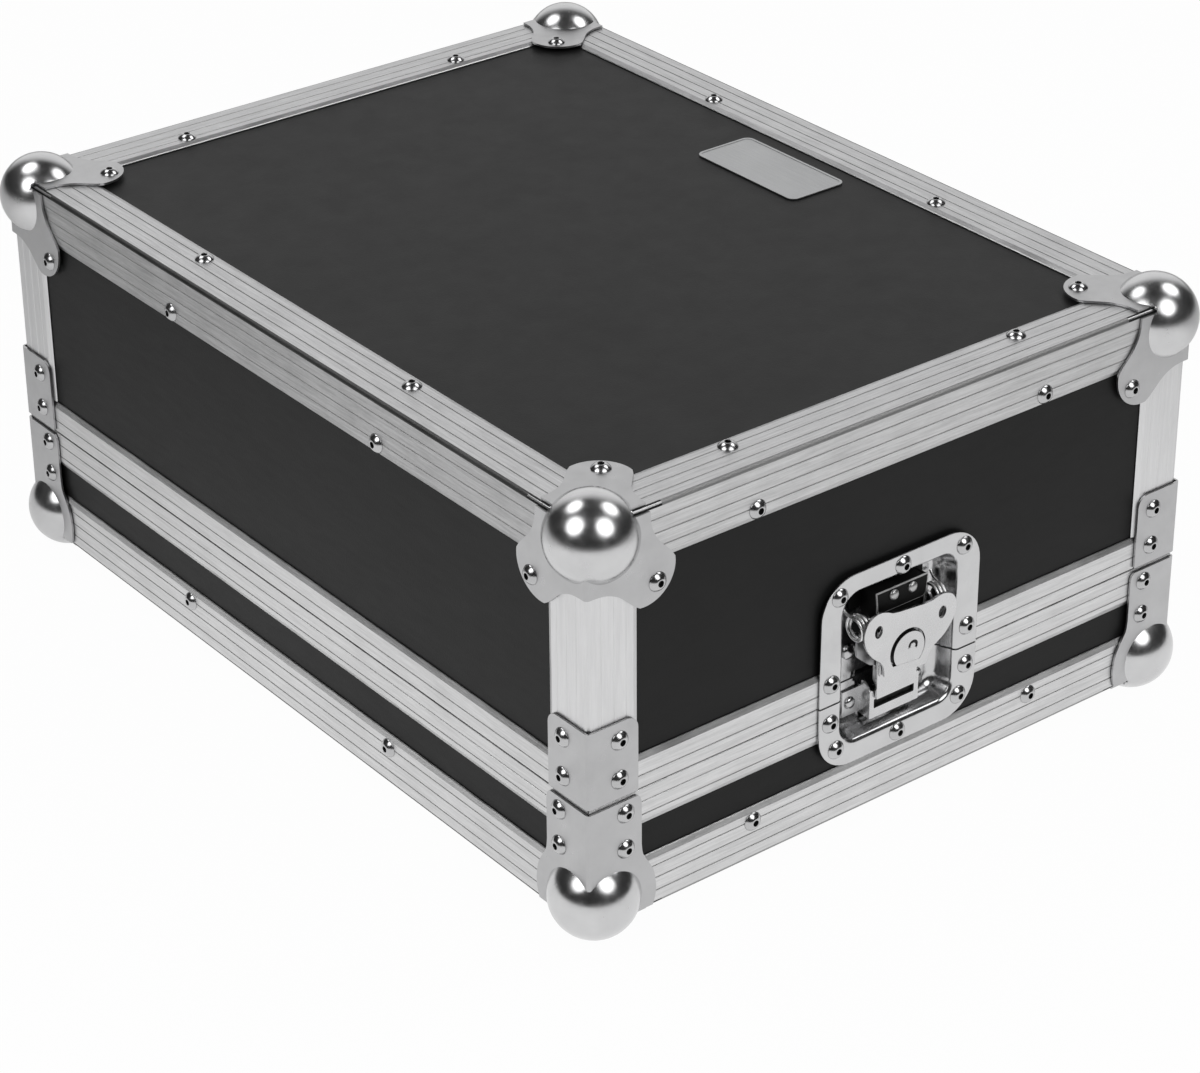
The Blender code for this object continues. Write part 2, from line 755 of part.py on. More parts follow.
def latch_rotor(side):
    """Return the spindle with its cam, its head and the ears that hold the wing's pin."""
    def disc(centre_z, radius, low, high, sides=16):
        return latch_prism(circle((0, centre_z), radius, sides), low, high, side)

    head = arc((0, SPIN_Z), 9.2, -22, 202, 12)
    ear = [(0.9, 86.0), (-0.3, 86.0), (-3.2, 81.0), (-3.7, FOLD_Z), (-3.2, 77.4), (FOLD_D, 77.0),
           (0.9, 77.0)]
    boss = [[latch_point(a, d, z, side) for a, z in circle((0.6, SPIN_Z + 2.2), r, 12)]
            for r, d in ((5.4, WING_FRONT), (4.6, -7.2), (2.6, -7.9))]
    body = union(
        disc(SPIN_Z, 10.3, -0.6, 1.2, 20),
        disc(SPIN_Z + CAM_OFF, CAM_R, 0.9, 3.2, 20),
        disc(SPIN_Z, 4.9, 0.35, 6.0),
        disc(SPIN_Z, 7.0, 5.4, 7.0),
        latch_prism(head, WING_FRONT - 0.4, 0.15, side),
        *latch_pair(ear, 5.0, 7.0, side),
        loft(boss),
    )
    knuckle_room = latch_prism(rectangle((-5.05, 70.0), (5.05, 82.2)), -20, 20, side)
    hole = latch_slab(circle((FOLD_D, FOLD_Z), 1.15, 8), -12, 12, side)
    return tilted(difference(body, knuckle_room, hole), side)


def wing_outline():
    """Return the wing's outline, from the middle of its foot round to its top."""
    return mirrored([
        (0.0, 76.0), (9.5, 76.0), (12.0, 78.5), (12.5, 83.6), (15.5, 86.4), (22.3, 87.4),
        (25.4, 90.0), (30.0, 98.0), (30.6, 102.6), (29.6, 108.0), (26.4, 111.6), (21.4, 113.4),
        (17.0, 112.8), (13.2, 110.8), (0.0, 110.8),
    ])


def latch_wing(side):
    """Return the folding butterfly wing with its knuckle and pin."""
    back = WING_FRONT + WING_T
    window = [(-10.6, 84.0), (10.6, 84.0)] + arc((0, SPIN_Z), 10.6, 0, 180, 10)
    plate = difference(
        latch_prism(wing_outline(), WING_FRONT, back, side),
        latch_prism(window, -12, 0, side),
        latch_prism(circle((21.3, 102.9), 2.7, 10), -12, 0, side),
        latch_prism(circle((-21.3, 102.9), 2.7, 10), -12, 0, side),
    )
    web = [(back - 0.5, 77.3), (FOLD_D, 77.0), (-0.9, 77.7), (-0.9, 79.5), (FOLD_D, 80.2),
           (back - 0.5, 80.6)]
    knuckle = latch_slab(web, -4.6, 4.6, side)
    pin = latch_slab(circle((FOLD_D, FOLD_Z), 0.8, 8), -7.6, 7.6, side)
    return tilted(union(plate, knuckle, pin), side)


# Handle on the right side

def handle_dish():
    """Return the dish that the bail folds into, with the two lugs that hold the bail's ends."""
    pan = dish(
        ((-HANDLE_HALF_W, HANDLE_Z - HANDLE_HALF_H), (HANDLE_HALF_W, HANDLE_Z + HANDLE_HALF_H),
         HANDLE_ROUND),
        ((-HANDLE_RECESS_HALF_W, HANDLE_Z - HANDLE_RECESS_HALF_H),
         (HANDLE_RECESS_HALF_W, HANDLE_Z + HANDLE_RECESS_HALF_H), 12.0),
        HANDLE_RECESS_DEPTH, 3.0, "right", HANDLE_FACE,
    )
    floor = HANDLE_FACE + HANDLE_RECESS_DEPTH + 0.4
    lugs = []
    for low, high in ((-LUG_TO, -LUG_FROM), (LUG_FROM, LUG_TO)):
        outline = rectangle((low, BAIL_PIVOT_Z - LUG_HALF), (high, BAIL_PIVOT_Z + LUG_HALF))
        lugs.append(face_prism(outline, BAIL_DEPTH - LUG_HALF, floor, "right"))
    rivets = [rivet(from_face(a, HANDLE_FACE, HANDLE_Z + z, "right"), outward("right"))
              for a, z in HANDLE_RIVETS]
    bore = [from_face(a, BAIL_DEPTH, BAIL_PIVOT_Z, "right") for a in (-58, 58)]
    return difference(union(pan, *lugs, *rivets), tube(bore, BAIL_R + 0.4, 14))


def bail_path():
    """Return half of the bail's centre line as (along, height) points, from its tip."""
    upper = arc((BAIL_HALF_W + BAIL_BEND, BAIL_PIVOT_Z - BAIL_BEND), BAIL_BEND, 90, 180, 4)
    lower = arc((BAIL_HALF_W - BAIL_BEND, BAIL_GRIP_Z + BAIL_BEND), BAIL_BEND, 0, -90, 4)
    return [(BAIL_TIP, BAIL_PIVOT_Z)] + upper + lower


def handle_bail():
    """Return the steel bail."""
    half = bail_path()
    line = half + [(-a, z) for a, z in reversed(half)]
    return tube([from_face(a, BAIL_DEPTH, z, "right") for a, z in line], BAIL_R, 10)


def handle_grip():
    """Return the rubber sleeve round the bail's grip."""
    sides = 14
    bore = BAIL_R + GAP
    stations = [(-GRIP_HALF, bore), (-GRIP_HALF, GRIP_R - 1), (-GRIP_HALF + 2, GRIP_R),
                (GRIP_HALF - 2, GRIP_R), (GRIP_HALF, GRIP_R - 1), (GRIP_HALF, bore)]
    sleeve = bmesh.new()
    rings = [
        [sleeve.verts.new(from_face(a, BAIL_DEPTH + u, BAIL_GRIP_Z + v, "right"))
         for u, v in circle((0, 0), radius, sides)]
        for a, radius in stations
    ]
    for low, high in zip(rings, rings[1:] + rings[:1]):
        for i in range(sides):
            j = (i + 1) % sides
            sleeve.faces.new((low[i], low[j], high[j], high[i]))
    bmesh.ops.recalc_face_normals(sleeve, faces=sleeve.faces)
    return sleeve


# Foam lining

def foam_box(inset, low, high):
    """Return a box inside all four sides, between two heights."""
    x, y = HALF_X - inset, HALF_Y - inset
    return block((-x, -y, up(low)), (x, y, up(high)))


def foam_pocket(side, half, low, high):
    """Return the shallow pocket in the lining's outer face behind a dish."""
    return face_prism(rectangle((-half, low), (half, high)), 0, FOAM_OUT + FOAM_POCKET, side)


def lid_foam():
    """Return the lid's foam lining: its sides, and the pad under the top panel."""
    body = union(
        foam_box(FOAM_OUT, SEAM_H + FOAM_SEAM, CASE_H - FOAM_OUT),
        foam_box(FOAM_STEP, CASE_H - FOAM_IN + 5, CASE_H - PANEL_IN - GAP),
    )
    latch = (RECESS_HALF_W + 3, SEAM_H - 5, RECESS_HIGH + 3)
    handle = (HANDLE_RECESS_HALF_W + 1, HANDLE_Z - HANDLE_RECESS_HALF_H - 1,
              HANDLE_Z + HANDLE_RECESS_HALF_H + 1)
    return difference(
        body,
        foam_box(FOAM_IN, SEAM_H - 20, CASE_H - FOAM_LID_FACE),
        foam_pocket("front", *latch), foam_pocket("rear", *latch), foam_pocket("right", *handle),
    )


def base_foam():
    """Return the tray's foam lining: the bed that the player lies on, and its sides."""
    body = union(
        foam_box(FOAM_OUT, FOAM_OUT, SEAM_H - FOAM_SEAM),
        foam_box(FOAM_STEP, PANEL_IN + GAP, FOAM_BED_TOP - 5),
    )
    latch = (RECESS_HALF_W + 3, RECESS_LOW - 3, SEAM_H + 5)
    return difference(
        body,
        foam_box(FOAM_IN, FOAM_BED_TOP, SEAM_H + 20),
        foam_pocket("front", *latch), foam_pocket("rear", *latch),
    )


# The object

def build_base():
    """Make the pieces of the tray that the player lies in."""
    high = SEAM_H - SEAM_GAP - WEB - GAP
    notch = (RECESS_HALF_W + CUT_CLEAR, RECESS_LOW - CUT_CLEAR, high + 5)
    finish("base_floor_panel", flat_panel(PANEL_OUT, PANEL_IN), "laminate")
    for side in QUARTERS:
        short = side in ("front", "rear")
        reach = half_width(side) - (PANEL_OUT if short else PANEL_IN + GAP)
        panel = side_panel(side, reach, PANEL_END, high, notch if short else None)
        finish(f"base_{side}_panel", panel, "laminate")
        finish(f"base_bottom_edge_{side}", bottom_edge(side), "aluminium")
    for side, sign in (("left", -1), ("right", 1)):
        finish(f"base_closing_bar_{side}", closing_bar(base_bar_profile(), sign), "aluminium")
    for corner in CORNERS:
        ball = ball_corner(leg_outline(), [(LEG_RIVET_IN, z) for z in LEG_RIVETS])
        finish(f"base_ball_corner_{corner}", at_corner(ball, corner, up(0)), "plated_steel",
               smooth=True)
    finish("base_foam_bed", base_foam(), "foam")


def build_lid():
    """Make the pieces that lift off with the lid."""
    low = SEAM_H + GROOVE_H + WEB + GAP
    high = CASE_H - PANEL_END
    cut = RECESS_HALF_W + CUT_CLEAR
    latch_notch = (cut, low - 5, RECESS_HIGH + CUT_CLEAR)
    handle_notch = (HANDLE_RECESS_HALF_W + CUT_CLEAR, HANDLE_Z - HANDLE_RECESS_HALF_H - CUT_CLEAR,
                    HANDLE_Z + HANDLE_RECESS_HALF_H + CUT_CLEAR)
    notches = {"front": latch_notch, "rear": latch_notch, "right": handle_notch}
    finish("lid_top_panel", flat_panel(CASE_H - PANEL_IN, CASE_H - PANEL_OUT), "laminate")
    for side in QUARTERS:
        panel = side_panel(side, half_width(side) - PANEL_END, low, high, notches.get(side))
        finish(f"lid_{side}_panel", panel, "laminate")
        finish(f"lid_top_edge_{side}", top_edge(side), "aluminium")
    for side, sign in (("left", -1), ("right", 1)):
        finish(f"lid_closing_bar_{side}", closing_bar(lid_bar_profile(), sign), "aluminium")
    for corner in CORNERS:
        finish(f"lid_corner_post_{corner}", at_corner(corner_post(), corner, up(SEAM_H)),
               "aluminium")
        finish(f"lid_corner_brace_{corner}", at_corner(lid_brace(), corner, up(SEAM_H)),
               "plated_steel")
        ball = ball_corner(lobe_outline(), [(CORNER_RIVET, CORNER_RIVET)])
        finish(f"lid_ball_corner_{corner}", at_corner(ball, corner, up(CASE_H), -1),
               "plated_steel", smooth=True)
    finish("lid_foam_lining", lid_foam(), "foam")
    face = up(CASE_H - PANEL_OUT) + GAP
    outline = rounded((PLATE_X - PLATE_HALF_W, PLATE_Y - PLATE_HALF_L),
                      (PLATE_X + PLATE_HALF_W, PLATE_Y + PLATE_HALF_L), PLATE_ROUND)
    finish("name_plate", prism(outline, face, face + PLATE_T, "z"), "plate")


def build_latch(side):
    """Make one recessed twist latch."""
    hinge = latch_point(0, PIN_D, PIN_Z, side)
    spindle = latch_point(0, 0, SPIN_Z, side)
    lean = math.radians(WING_TILT)
    drop = SPIN_Z - FOLD_Z
    fold = latch_point(-drop * math.sin(lean), FOLD_D, SPIN_Z - drop * math.cos(lean), side)
    finish(f"{side}_dish_upper", dish_upper(side), "plated_steel", smooth=True)
    finish(f"{side}_dish_lower", dish_lower(side), "plated_steel", smooth=True)
    finish(f"{side}_latch_mount", latch_mount(side), "black_steel")
    finish(f"{side}_latch_spring", latch_spring(side), "spring_steel", smooth=True)
    finish(f"{side}_latch_carrier", latch_carrier(side), "plated_steel", hinge)
    finish(f"{side}_latch_hook", latch_hook(side), "plated_steel", spindle)
    finish(f"{side}_latch_rotor", latch_rotor(side), "plated_steel", spindle)
    finish(f"{side}_latch_wing", latch_wing(side), "plated_steel", fold)


def build_handle():
    """Make the recessed carrying handle."""
    pivot = from_face(0, BAIL_DEPTH, BAIL_PIVOT_Z, "right")
    finish("handle_dish", handle_dish(), "plated_steel", smooth=True)
    finish("handle_bail", handle_bail(), "plated_steel", pivot, smooth=True)
    finish("handle_grip", handle_grip(), "rubber", pivot, smooth=True)


def main():
    """Clear the scene and build the case."""
    for obj in list(bpy.data.objects):
        bpy.data.objects.remove(obj)
    build_base()
    build_lid()
    for side in ("front", "rear"):
        build_latch(side)
    build_handle()


if __name__ == "__main__":
    main()
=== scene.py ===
"""Media player flight case: the dressed model, its light and its camera.

Sizes are in millimetres until a piece is finished, when MM turns them into metres. X runs
along the short sides, Y along the long ones, and Z is up from the ground under the case.
"""

import logging
import math
from collections.abc import Callable, Iterable, Sequence
from dataclasses import dataclass
from enum import Enum, IntEnum

import bmesh
import bpy
from mathutils import Matrix, Vector, noise


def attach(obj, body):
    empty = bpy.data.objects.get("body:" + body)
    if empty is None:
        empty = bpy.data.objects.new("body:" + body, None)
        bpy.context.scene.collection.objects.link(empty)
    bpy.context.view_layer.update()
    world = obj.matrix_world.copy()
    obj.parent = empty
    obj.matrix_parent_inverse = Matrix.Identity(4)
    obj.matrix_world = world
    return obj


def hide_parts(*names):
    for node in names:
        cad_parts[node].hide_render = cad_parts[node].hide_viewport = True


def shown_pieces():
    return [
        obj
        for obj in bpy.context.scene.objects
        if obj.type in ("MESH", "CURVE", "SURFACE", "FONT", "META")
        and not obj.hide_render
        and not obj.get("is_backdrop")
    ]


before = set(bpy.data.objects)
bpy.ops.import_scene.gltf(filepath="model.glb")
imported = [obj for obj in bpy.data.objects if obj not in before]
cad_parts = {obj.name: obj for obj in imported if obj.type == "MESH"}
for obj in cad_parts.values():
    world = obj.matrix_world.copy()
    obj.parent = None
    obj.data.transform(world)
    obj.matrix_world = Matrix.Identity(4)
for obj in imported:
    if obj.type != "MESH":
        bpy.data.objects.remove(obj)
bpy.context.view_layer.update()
MM = 0.001
EXTRUSION_SHARP = 18.0
CORNER_SHARP = 32.0
BAR_SHARP = 50.0
SOFT_SHARP = 60.0
LOG = logging.getLogger("flight_case")

Pair = tuple[float, float]
Triple = tuple[float, float, float]
Outline = list[Pair]
Place = tuple[Vector, Vector]
Socket = bpy.types.NodeSocket
Edge = bmesh.types.BMEdge


class Named(Enum):
    """A choice whose name in small letters is part of the names of nodes and finishes."""

    @property
    def word(self) -> str:
        """Return the name in small letters."""
        return self.name.lower()


class Side(Named):
    """A side of the case, as the quarter turns about Z that take the front to it."""

    FRONT = 0
    RIGHT = 1
    REAR = 2
    LEFT = 3

    @property
    def short(self) -> bool:
        """Tell whether this is one of the two short sides."""
        return self in (Side.FRONT, Side.REAR)


class Corner(Named):
    """An upright corner, as the side that it is at the left end of."""

    FRONT_LEFT = Side.FRONT
    FRONT_RIGHT = Side.RIGHT
    REAR_RIGHT = Side.REAR
    REAR_LEFT = Side.LEFT


class Axis(Enum):
    """The axis that an outline is drawn out along."""

    X = Matrix(((0, 0, 1, 0), (1, 0, 0, 0), (0, 1, 0, 0), (0, 0, 0, 1)))
    Y = Matrix(((1, 0, 0, 0), (0, 0, 1, 0), (0, 1, 0, 0), (0, 0, 0, 1)))
    Z = Matrix.Identity(4)


class Grain(Named):
    """The direction that a metal's drawing lines run in, as noise scales per metre."""

    X = (32.0, 820.0, 820.0)
    Y = (820.0, 32.0, 820.0)
    Z = (430.0, 430.0, 24.0)


class Facet(IntEnum):
    """A kind of face on an extrusion, as its finish's place in the piece's list."""

    PLAIN = 0
    GROOVE = 1
    # Rounded corner: takes painted shade.
    ROUND = 2
    # Upright faces: take a copy of the aluminium with painted light or shade.
    UPRIGHT = 3
    # Rounded corner in a corner plate's slot: takes painted shadow.
    SLOT = 4


class Blend(Enum):
    """What a Boolean step does with its tools."""

    JOIN = "UNION"
    CUT = "DIFFERENCE"
    KEEP = "INTERSECT"


# Outlines

def arc(centre: Pair, radius: float, start: float, end: float, steps: int) -> Outline:
    """Return the points of some steps round a circle, between two angles in degrees."""
    angles = [math.radians(start + (end - start) * i / steps) for i in range(steps + 1)]
    return [(centre[0] + radius * math.cos(t), centre[1] + radius * math.sin(t)) for t in angles]


def circle(centre: Pair, radius: float, sides: int = 32) -> Outline:
    """Return a whole circle as an outline."""
    return arc(centre, radius, 0, 360 - 360 / sides, sides - 1)


def rectangle(low: Pair, high: Pair) -> Outline:
    """Return the outline between two corners."""
    return [(low[0], low[1]), (high[0], low[1]), (high[0], high[1]), (low[0], high[1])]


def rounded(low: Pair, high: Pair, radius: float, steps: int = 8) -> Outline:
    """Return a rectangle with round corners.

    Args:
        low: Its lowest corner.
        high: Its highest corner.
        radius: The round corners' radius.
        steps: How many steps each of them has.

    Returns:
        The outline.
    """
    inner = rectangle((low[0] + radius, low[1] + radius), (high[0] - radius, high[1] - radius))
    return [point for k, middle in enumerate(inner[1:] + inner[:1])
            for point in arc(middle, radius, 90 * k - 90, 90 * k, steps)]


def mirrored(outline: Outline) -> Outline:
    """Return an outline drawn from its middle up the right side, with its left side added."""
    return outline + [(-a, b) for a, b in reversed(outline) if abs(a) > 1e-6]


def flowing(points: Outline, steps: int = 4) -> Outline:
    """Return a smooth line through points.

    Args:
        points: The points that it passes, in order.
        steps: How many steps lie between two of them.

    Returns:
        The line's points, both ends included.
    """
    line: Outline = []
    for i in range(len(points) - 1):
        before, here = points[max(i - 1, 0)], points[i]
        there, after = points[i + 1], points[min(i + 2, len(points) - 1)]
        for k in range(steps):
            t = k / steps
            line.append(tuple(
                0.5 * (2 * b + (c - a) * t + (2 * a - 5 * b + 4 * c - d) * t * t
                       + (3 * b - a - 3 * c + d) * t ** 3)
                for a, b, c, d in zip(before, here, there, after)
            ))
    return line + [points[-1]]


# Finishes

class Graph:
    """The nodes of a material or a world, with short calls to add and join them."""

    def __init__(self, owner: bpy.types.Material | bpy.types.World) -> None:
        """Start from the nodes that a new material or world has.

        Args:
            owner: The material or world.
        """
        owner.use_nodes = True
        self.nodes = owner.node_tree.nodes
        self.links = owner.node_tree.links

    def add(self, kind: str, settings: dict[str, object] | None = None,
            **inputs: object) -> bpy.types.Node:
        """Add a node.

        Args:
            kind: The node's type, without its ShaderNode prefix.
            settings: Its properties.
            **inputs: Its input sockets, with spaces as underscores: a socket to join, or a value.

        Returns:
            The node.
        """
        node = self.nodes.new("ShaderNode" + kind)
        for key, value in (settings or {}).items():
            setattr(node, key, value)
        self.set(node, **inputs)
        return node

    def fill(self, target: Socket, value: object) -> None:
        """Join an input to another node's socket, or give it a value.

        Args:
            target: The input.
            value: The socket, or the value.
        """
        if isinstance(value, Socket):
            self.links.new(value, target)
        else:
            target.default_value = value

    def set(self, node: bpy.types.Node, **inputs: object) -> None:
        """Fill a node's inputs, with spaces as underscores."""
        for key, value in inputs.items():
            self.fill(node.inputs[key.replace("_", " ")], value)

    def set_shader(self, **inputs: object) -> None:
        """Fill the inputs of a material's own shader."""
        self.set(self.nodes["Principled BSDF"], **inputs)

    def place(self, scale: Sequence[float] = (1, 1, 1)) -> Socket:
        """Return object coordinates at some scale."""
        coordinates = self.add("TexCoord").outputs["Object"]
        return self.add("Mapping", Vector=coordinates, Scale=scale).outputs["Vector"]

    def noise(self, scale: float, stretch: Sequence[float] = (1, 1, 1), detail: float = 3.0,
              roughness: float = 0.5) -> Socket:
        """Return a noise from 0 to 1.

        Args:
            scale: Its waves per metre.
            stretch: Scales of the coordinates before that.
            detail: Its octaves.
            roughness: How strong the finer octaves are.

        Returns:
            The noise's factor socket.
        """
        made = self.add("TexNoise", Vector=self.place(stretch), Scale=scale, Detail=detail,
                        Roughness=roughness)
        return made.outputs["Fac"]

    def cells(self, scale: float, settings: dict[str, object] | None = None,
              **inputs: float) -> Socket:
        """Return the distance from the middles of cells, of some number per metre."""
        made = self.add("TexVoronoi", settings, Vector=self.place(), Scale=scale, **inputs)
        return made.outputs["Distance"]

    def spread(self, factor: Socket, low: float, high: float, start: float = 0.3,
               end: float = 0.7) -> Socket:
        """Return a factor mapped from start..end to low..high."""
        made = self.add("MapRange", Value=factor, From_Min=start, From_Max=end, To_Min=low,
                        To_Max=high)
        return made.outputs["Result"]

    def math(self, kind: str, operation: str, first: object, second: object) -> Socket:
        """Return the value that a node works out from two inputs.

        Args:
            kind: Math or VectorMath.
            operation: What the node does.
            first: Its first input's socket or value.
            second: Its second input's socket or value.

        Returns:
            The value's socket.
        """
        node = self.add(kind, {"operation": operation})
        self.fill(node.inputs[0], first)
        self.fill(node.inputs[1], second)
        return node.outputs["Value"]

    def mixed(self, factor: Socket, first: bpy.types.Node, second: bpy.types.Node) -> Socket:
        """Return two shaders mixed by a factor.

        Args:
            factor: The second one's share.
            first: The first shader's node.
            second: The second shader's node.

        Returns:
            The mixed shader's socket.
        """
        node = self.add("MixShader")
        for target, value in zip(node.inputs, (factor, first.outputs[0], second.outputs[0])):
            self.fill(target, value)
        return node.outputs[0]

    def bump(self, height: Socket, depth: float, strength: float = 1.0,
             normal: Socket | None = None) -> Socket:
        """Return a normal bent by a height.

        Args:
            height: The height's socket, from 0 to 1.
            depth: How many metres its 1 stands for.
            strength: The share of the effect.
            normal: The normal that is bent.

        Returns:
            The new normal's socket.
        """
        node = self.add("Bump", Height=height, Distance=depth, Strength=strength)
        if normal:
            self.links.new(normal, node.inputs["Normal"])
        return node.outputs["Normal"]


@dataclass(frozen=True)
class Finish:
    """A finish that every piece of one kind shares, between two colours."""

    name: str
    slot: str
    colour: Triple
    pale: Triple

    def build(self, graph: Graph) -> None:
        """Join the nodes of the finish into its material."""
        raise NotImplementedError

    def tint(self, graph: Graph, factor: Socket) -> Socket:
        """Return a colour between the finish's two.

        Args:
            graph: The finish's material.
            factor: The paler one's share.

        Returns:
            The colour's socket.
        """
        node = graph.add("Mix", {"data_type": "RGBA"})
        for place, value in ((0, factor), (6, (*self.colour, 1.0)), (7, (*self.pale, 1.0))):
            graph.fill(node.inputs[place], value)
        return node.outputs[2]

    def clouds(self, graph: Graph, noise_socket: Socket) -> Socket:
        """Return the finish's two colours, mixed in the clouds of a noise."""
        return self.tint(graph, graph.spread(noise_socket, 0.0, 1.0))

    def material(self) -> bpy.types.Material:
        """Return the finish's material, made once.

        Returns:
            The material.
        """
        made = bpy.data.materials.get(self.name)
        if made is None:
            made = bpy.data.materials.new(self.name)
            self.build(Graph(made))
        return made


@dataclass(frozen=True)
class Laminate(Finish):
    """Black laminate with a fine pebbled face."""

    def build(self, graph: Graph) -> None:
        """Mix cloudy colour, uneven gloss and a pebbled face with faint rub marks.

        Args:
            graph: The material.
        """
        clouds = graph.noise(14.0, detail=4.0)
        rubs = graph.noise(60.0, (1, 1, 6), detail=6.0, roughness=0.7)
        pebble = graph.cells(1400.0, {"feature": "SMOOTH_F1"}, Smoothness=0.7)
        grit = graph.noise(3200.0, detail=2.0)
        normal = graph.bump(pebble, 0.00006, 0.55)
        graph.set_shader(
            Base_Color=self.clouds(graph, clouds),
            Roughness=graph.spread(rubs, 0.45, 0.51),
            Specular_IOR_Level=0.16,
            Normal=graph.bump(grit, 0.00003, 0.4, normal),
        )


@dataclass(frozen=True)
class DrawnMetal(Finish):
    """Bare metal with fine lines along its length."""

    grain: Grain = Grain.X
    smooth: float = 0.30
    rough: float = 0.44
    depth: float = 0.00009

    def build(self, graph: Graph) -> None:
        """Mix lines along the metal with soft stains and a few specks.

        Args:
            graph: The material.
        """
        lines = graph.noise(1.0, self.grain.value, detail=5.0, roughness=0.8)
        stains = graph.noise(38.0, detail=5.0, roughness=0.6)
        specks = graph.noise(900.0, detail=2.0)
        mixed = graph.math("Math", "ADD", graph.spread(lines, 0.0, 0.65),
                           graph.spread(stains, 0.0, 0.35))
        normal = graph.bump(lines, self.depth, 0.8)
        graph.set_shader(
            Base_Color=self.tint(graph, mixed),
            Metallic=1.0,
            Roughness=graph.spread(stains, self.smooth, self.rough),
            Normal=graph.bump(specks, 0.00001, 0.35, normal),
        )


@dataclass(frozen=True)
class PressedMetal(Finish):
    """Plated sheet or wire with a soft, slightly uneven shine."""

    smooth: float = 0.16
    rough: float = 0.26
    waves: float = 0.00001

    def build(self, graph: Graph) -> None:
        """Mix cloudy plating, handling marks and the long waves of pressed sheet.

        Args:
            graph: The material.
        """
        clouds = graph.noise(55.0, detail=5.0, roughness=0.55)
        marks = graph.noise(160.0, detail=4.0, roughness=0.6)
        swell = graph.noise(70.0, detail=1.0)
        peel = graph.noise(1500.0, detail=2.0)
        normal = graph.bump(swell, self.waves, 0.6)
        graph.set_shader(
            Base_Color=self.clouds(graph, clouds),
            Metallic=1.0,
            Roughness=graph.spread(marks, self.smooth, self.rough),
            Normal=graph.bump(peel, 0.000003, 0.3, normal),
        )


@dataclass(frozen=True)
class DarkMetal(Finish):
    """Dark metal: dull paint, a pale painted highlight on its edges, or painted shadow in holes."""

    metallic: float = 0.0
    smooth: float = 0.4
    rough: float = 0.6
    specular: float = 0.5

    def build(self, graph: Graph) -> None:
        """Mix uneven paint with an orange-peel surface.

        Args:
            graph: The material.
        """
        clouds = graph.noise(160.0, detail=4.0)
        peel = graph.noise(1300.0, detail=2.0)
        graph.set_shader(
            Base_Color=self.clouds(graph, clouds),
            Metallic=self.metallic,
            Roughness=graph.spread(clouds, self.smooth, self.rough),
            Specular_IOR_Level=self.specular,
            Normal=graph.bump(peel, 0.00001, 0.5),
        )


@dataclass(frozen=True)
class Foam(Finish):
    """Dark closed-cell foam."""

    def build(self, graph: Graph) -> None:
        """Mix open cells of two sizes with dust and a soft edge light.

        Args:
            graph: The material.
        """
        cells = graph.cells(700.0)
        fine = graph.cells(1700.0)
        dust = graph.noise(24.0, detail=5.0)
        normal = graph.bump(cells, 0.0005, 0.7)
        graph.set_shader(
            Base_Color=self.clouds(graph, dust),
            Roughness=graph.spread(cells, 0.85, 1.0, 0.1, 0.6),
            Sheen_Weight=0.25,
            Sheen_Roughness=0.6,
            Specular_IOR_Level=0.2,
            Normal=graph.bump(fine, 0.0002, 0.5, normal),
        )


@dataclass(frozen=True)
class Rubber(Finish):
    """Moulded black rubber."""

    def build(self, graph: Graph) -> None:
        """Mix bloom and dust with a fine moulded grain.

        Args:
            graph: The material.
        """
        bloom = graph.noise(70.0, detail=5.0)
        grain = graph.noise(2200.0, detail=3.0)
        graph.set_shader(
            Base_Color=self.clouds(graph, bloom),
            Roughness=graph.spread(bloom, 0.55, 0.78),
            Specular_IOR_Level=0.35,
            Normal=graph.bump(grain, 0.00005, 0.6),
        )


def grey(level: float, blue: float = 0.0) -> Triple:
    """Return a grey with a little more blue."""
    return level, level, level + blue


def drawn(name: str, dark: Triple, pale: Triple, grain: Grain = Grain.X,
          **more: float) -> DrawnMetal:
    """Return a finish of the aluminium slot."""
    return DrawnMetal(name, "aluminium", dark, pale, grain, **more)


def plated(name: str, dark: Triple, pale: Triple, *more: float) -> PressedMetal:
    """Return a finish of the plated steel slot."""
    return PressedMetal(name, "plated_steel", dark, pale, *more)


LAMINATE = Laminate("black_laminate", "laminate", grey(0.0100), grey(0.0124))
LONG_GRAINS = (Grain.X, Grain.Y)
ALUMINIUM = {grain: drawn(f"drawn_aluminium_{grain.word}", grey(0.36, 0.005), grey(0.73, 0.005),
                          grain)
             for grain in LONG_GRAINS}
ALUMINIUM[Grain.Z] = drawn("drawn_aluminium_z", grey(0.62, 0.005), grey(0.76, 0.005), Grain.Z,
                           depth=0.00003)
# Copies of the aluminium for the extrusions' upright faces, with painted light and shade: on the
# lid's top edges about as the level faces along the short sides and darker along the long sides,
# and paler on the base's foot edges and the closing bars.
UPRIGHT = {
    Grain.X: drawn("upright_aluminium_x", grey(0.40, 0.002), grey(0.72, 0.003), Grain.X),
    Grain.Y: drawn("upright_aluminium_y", grey(0.26, 0.002), grey(0.62, 0.003), Grain.Y),
}
LOW_UPRIGHT_PAINTED_LIGHT = {grain: drawn(f"low_upright_aluminium_{grain.word}", grey(0.48, 0.002),
                            grey(0.78, 0.003), grain)
               for grain in LONG_GRAINS}
GROOVE = drawn("groove_shadow", grey(0.42), grey(0.52), smooth=0.45, rough=0.6)
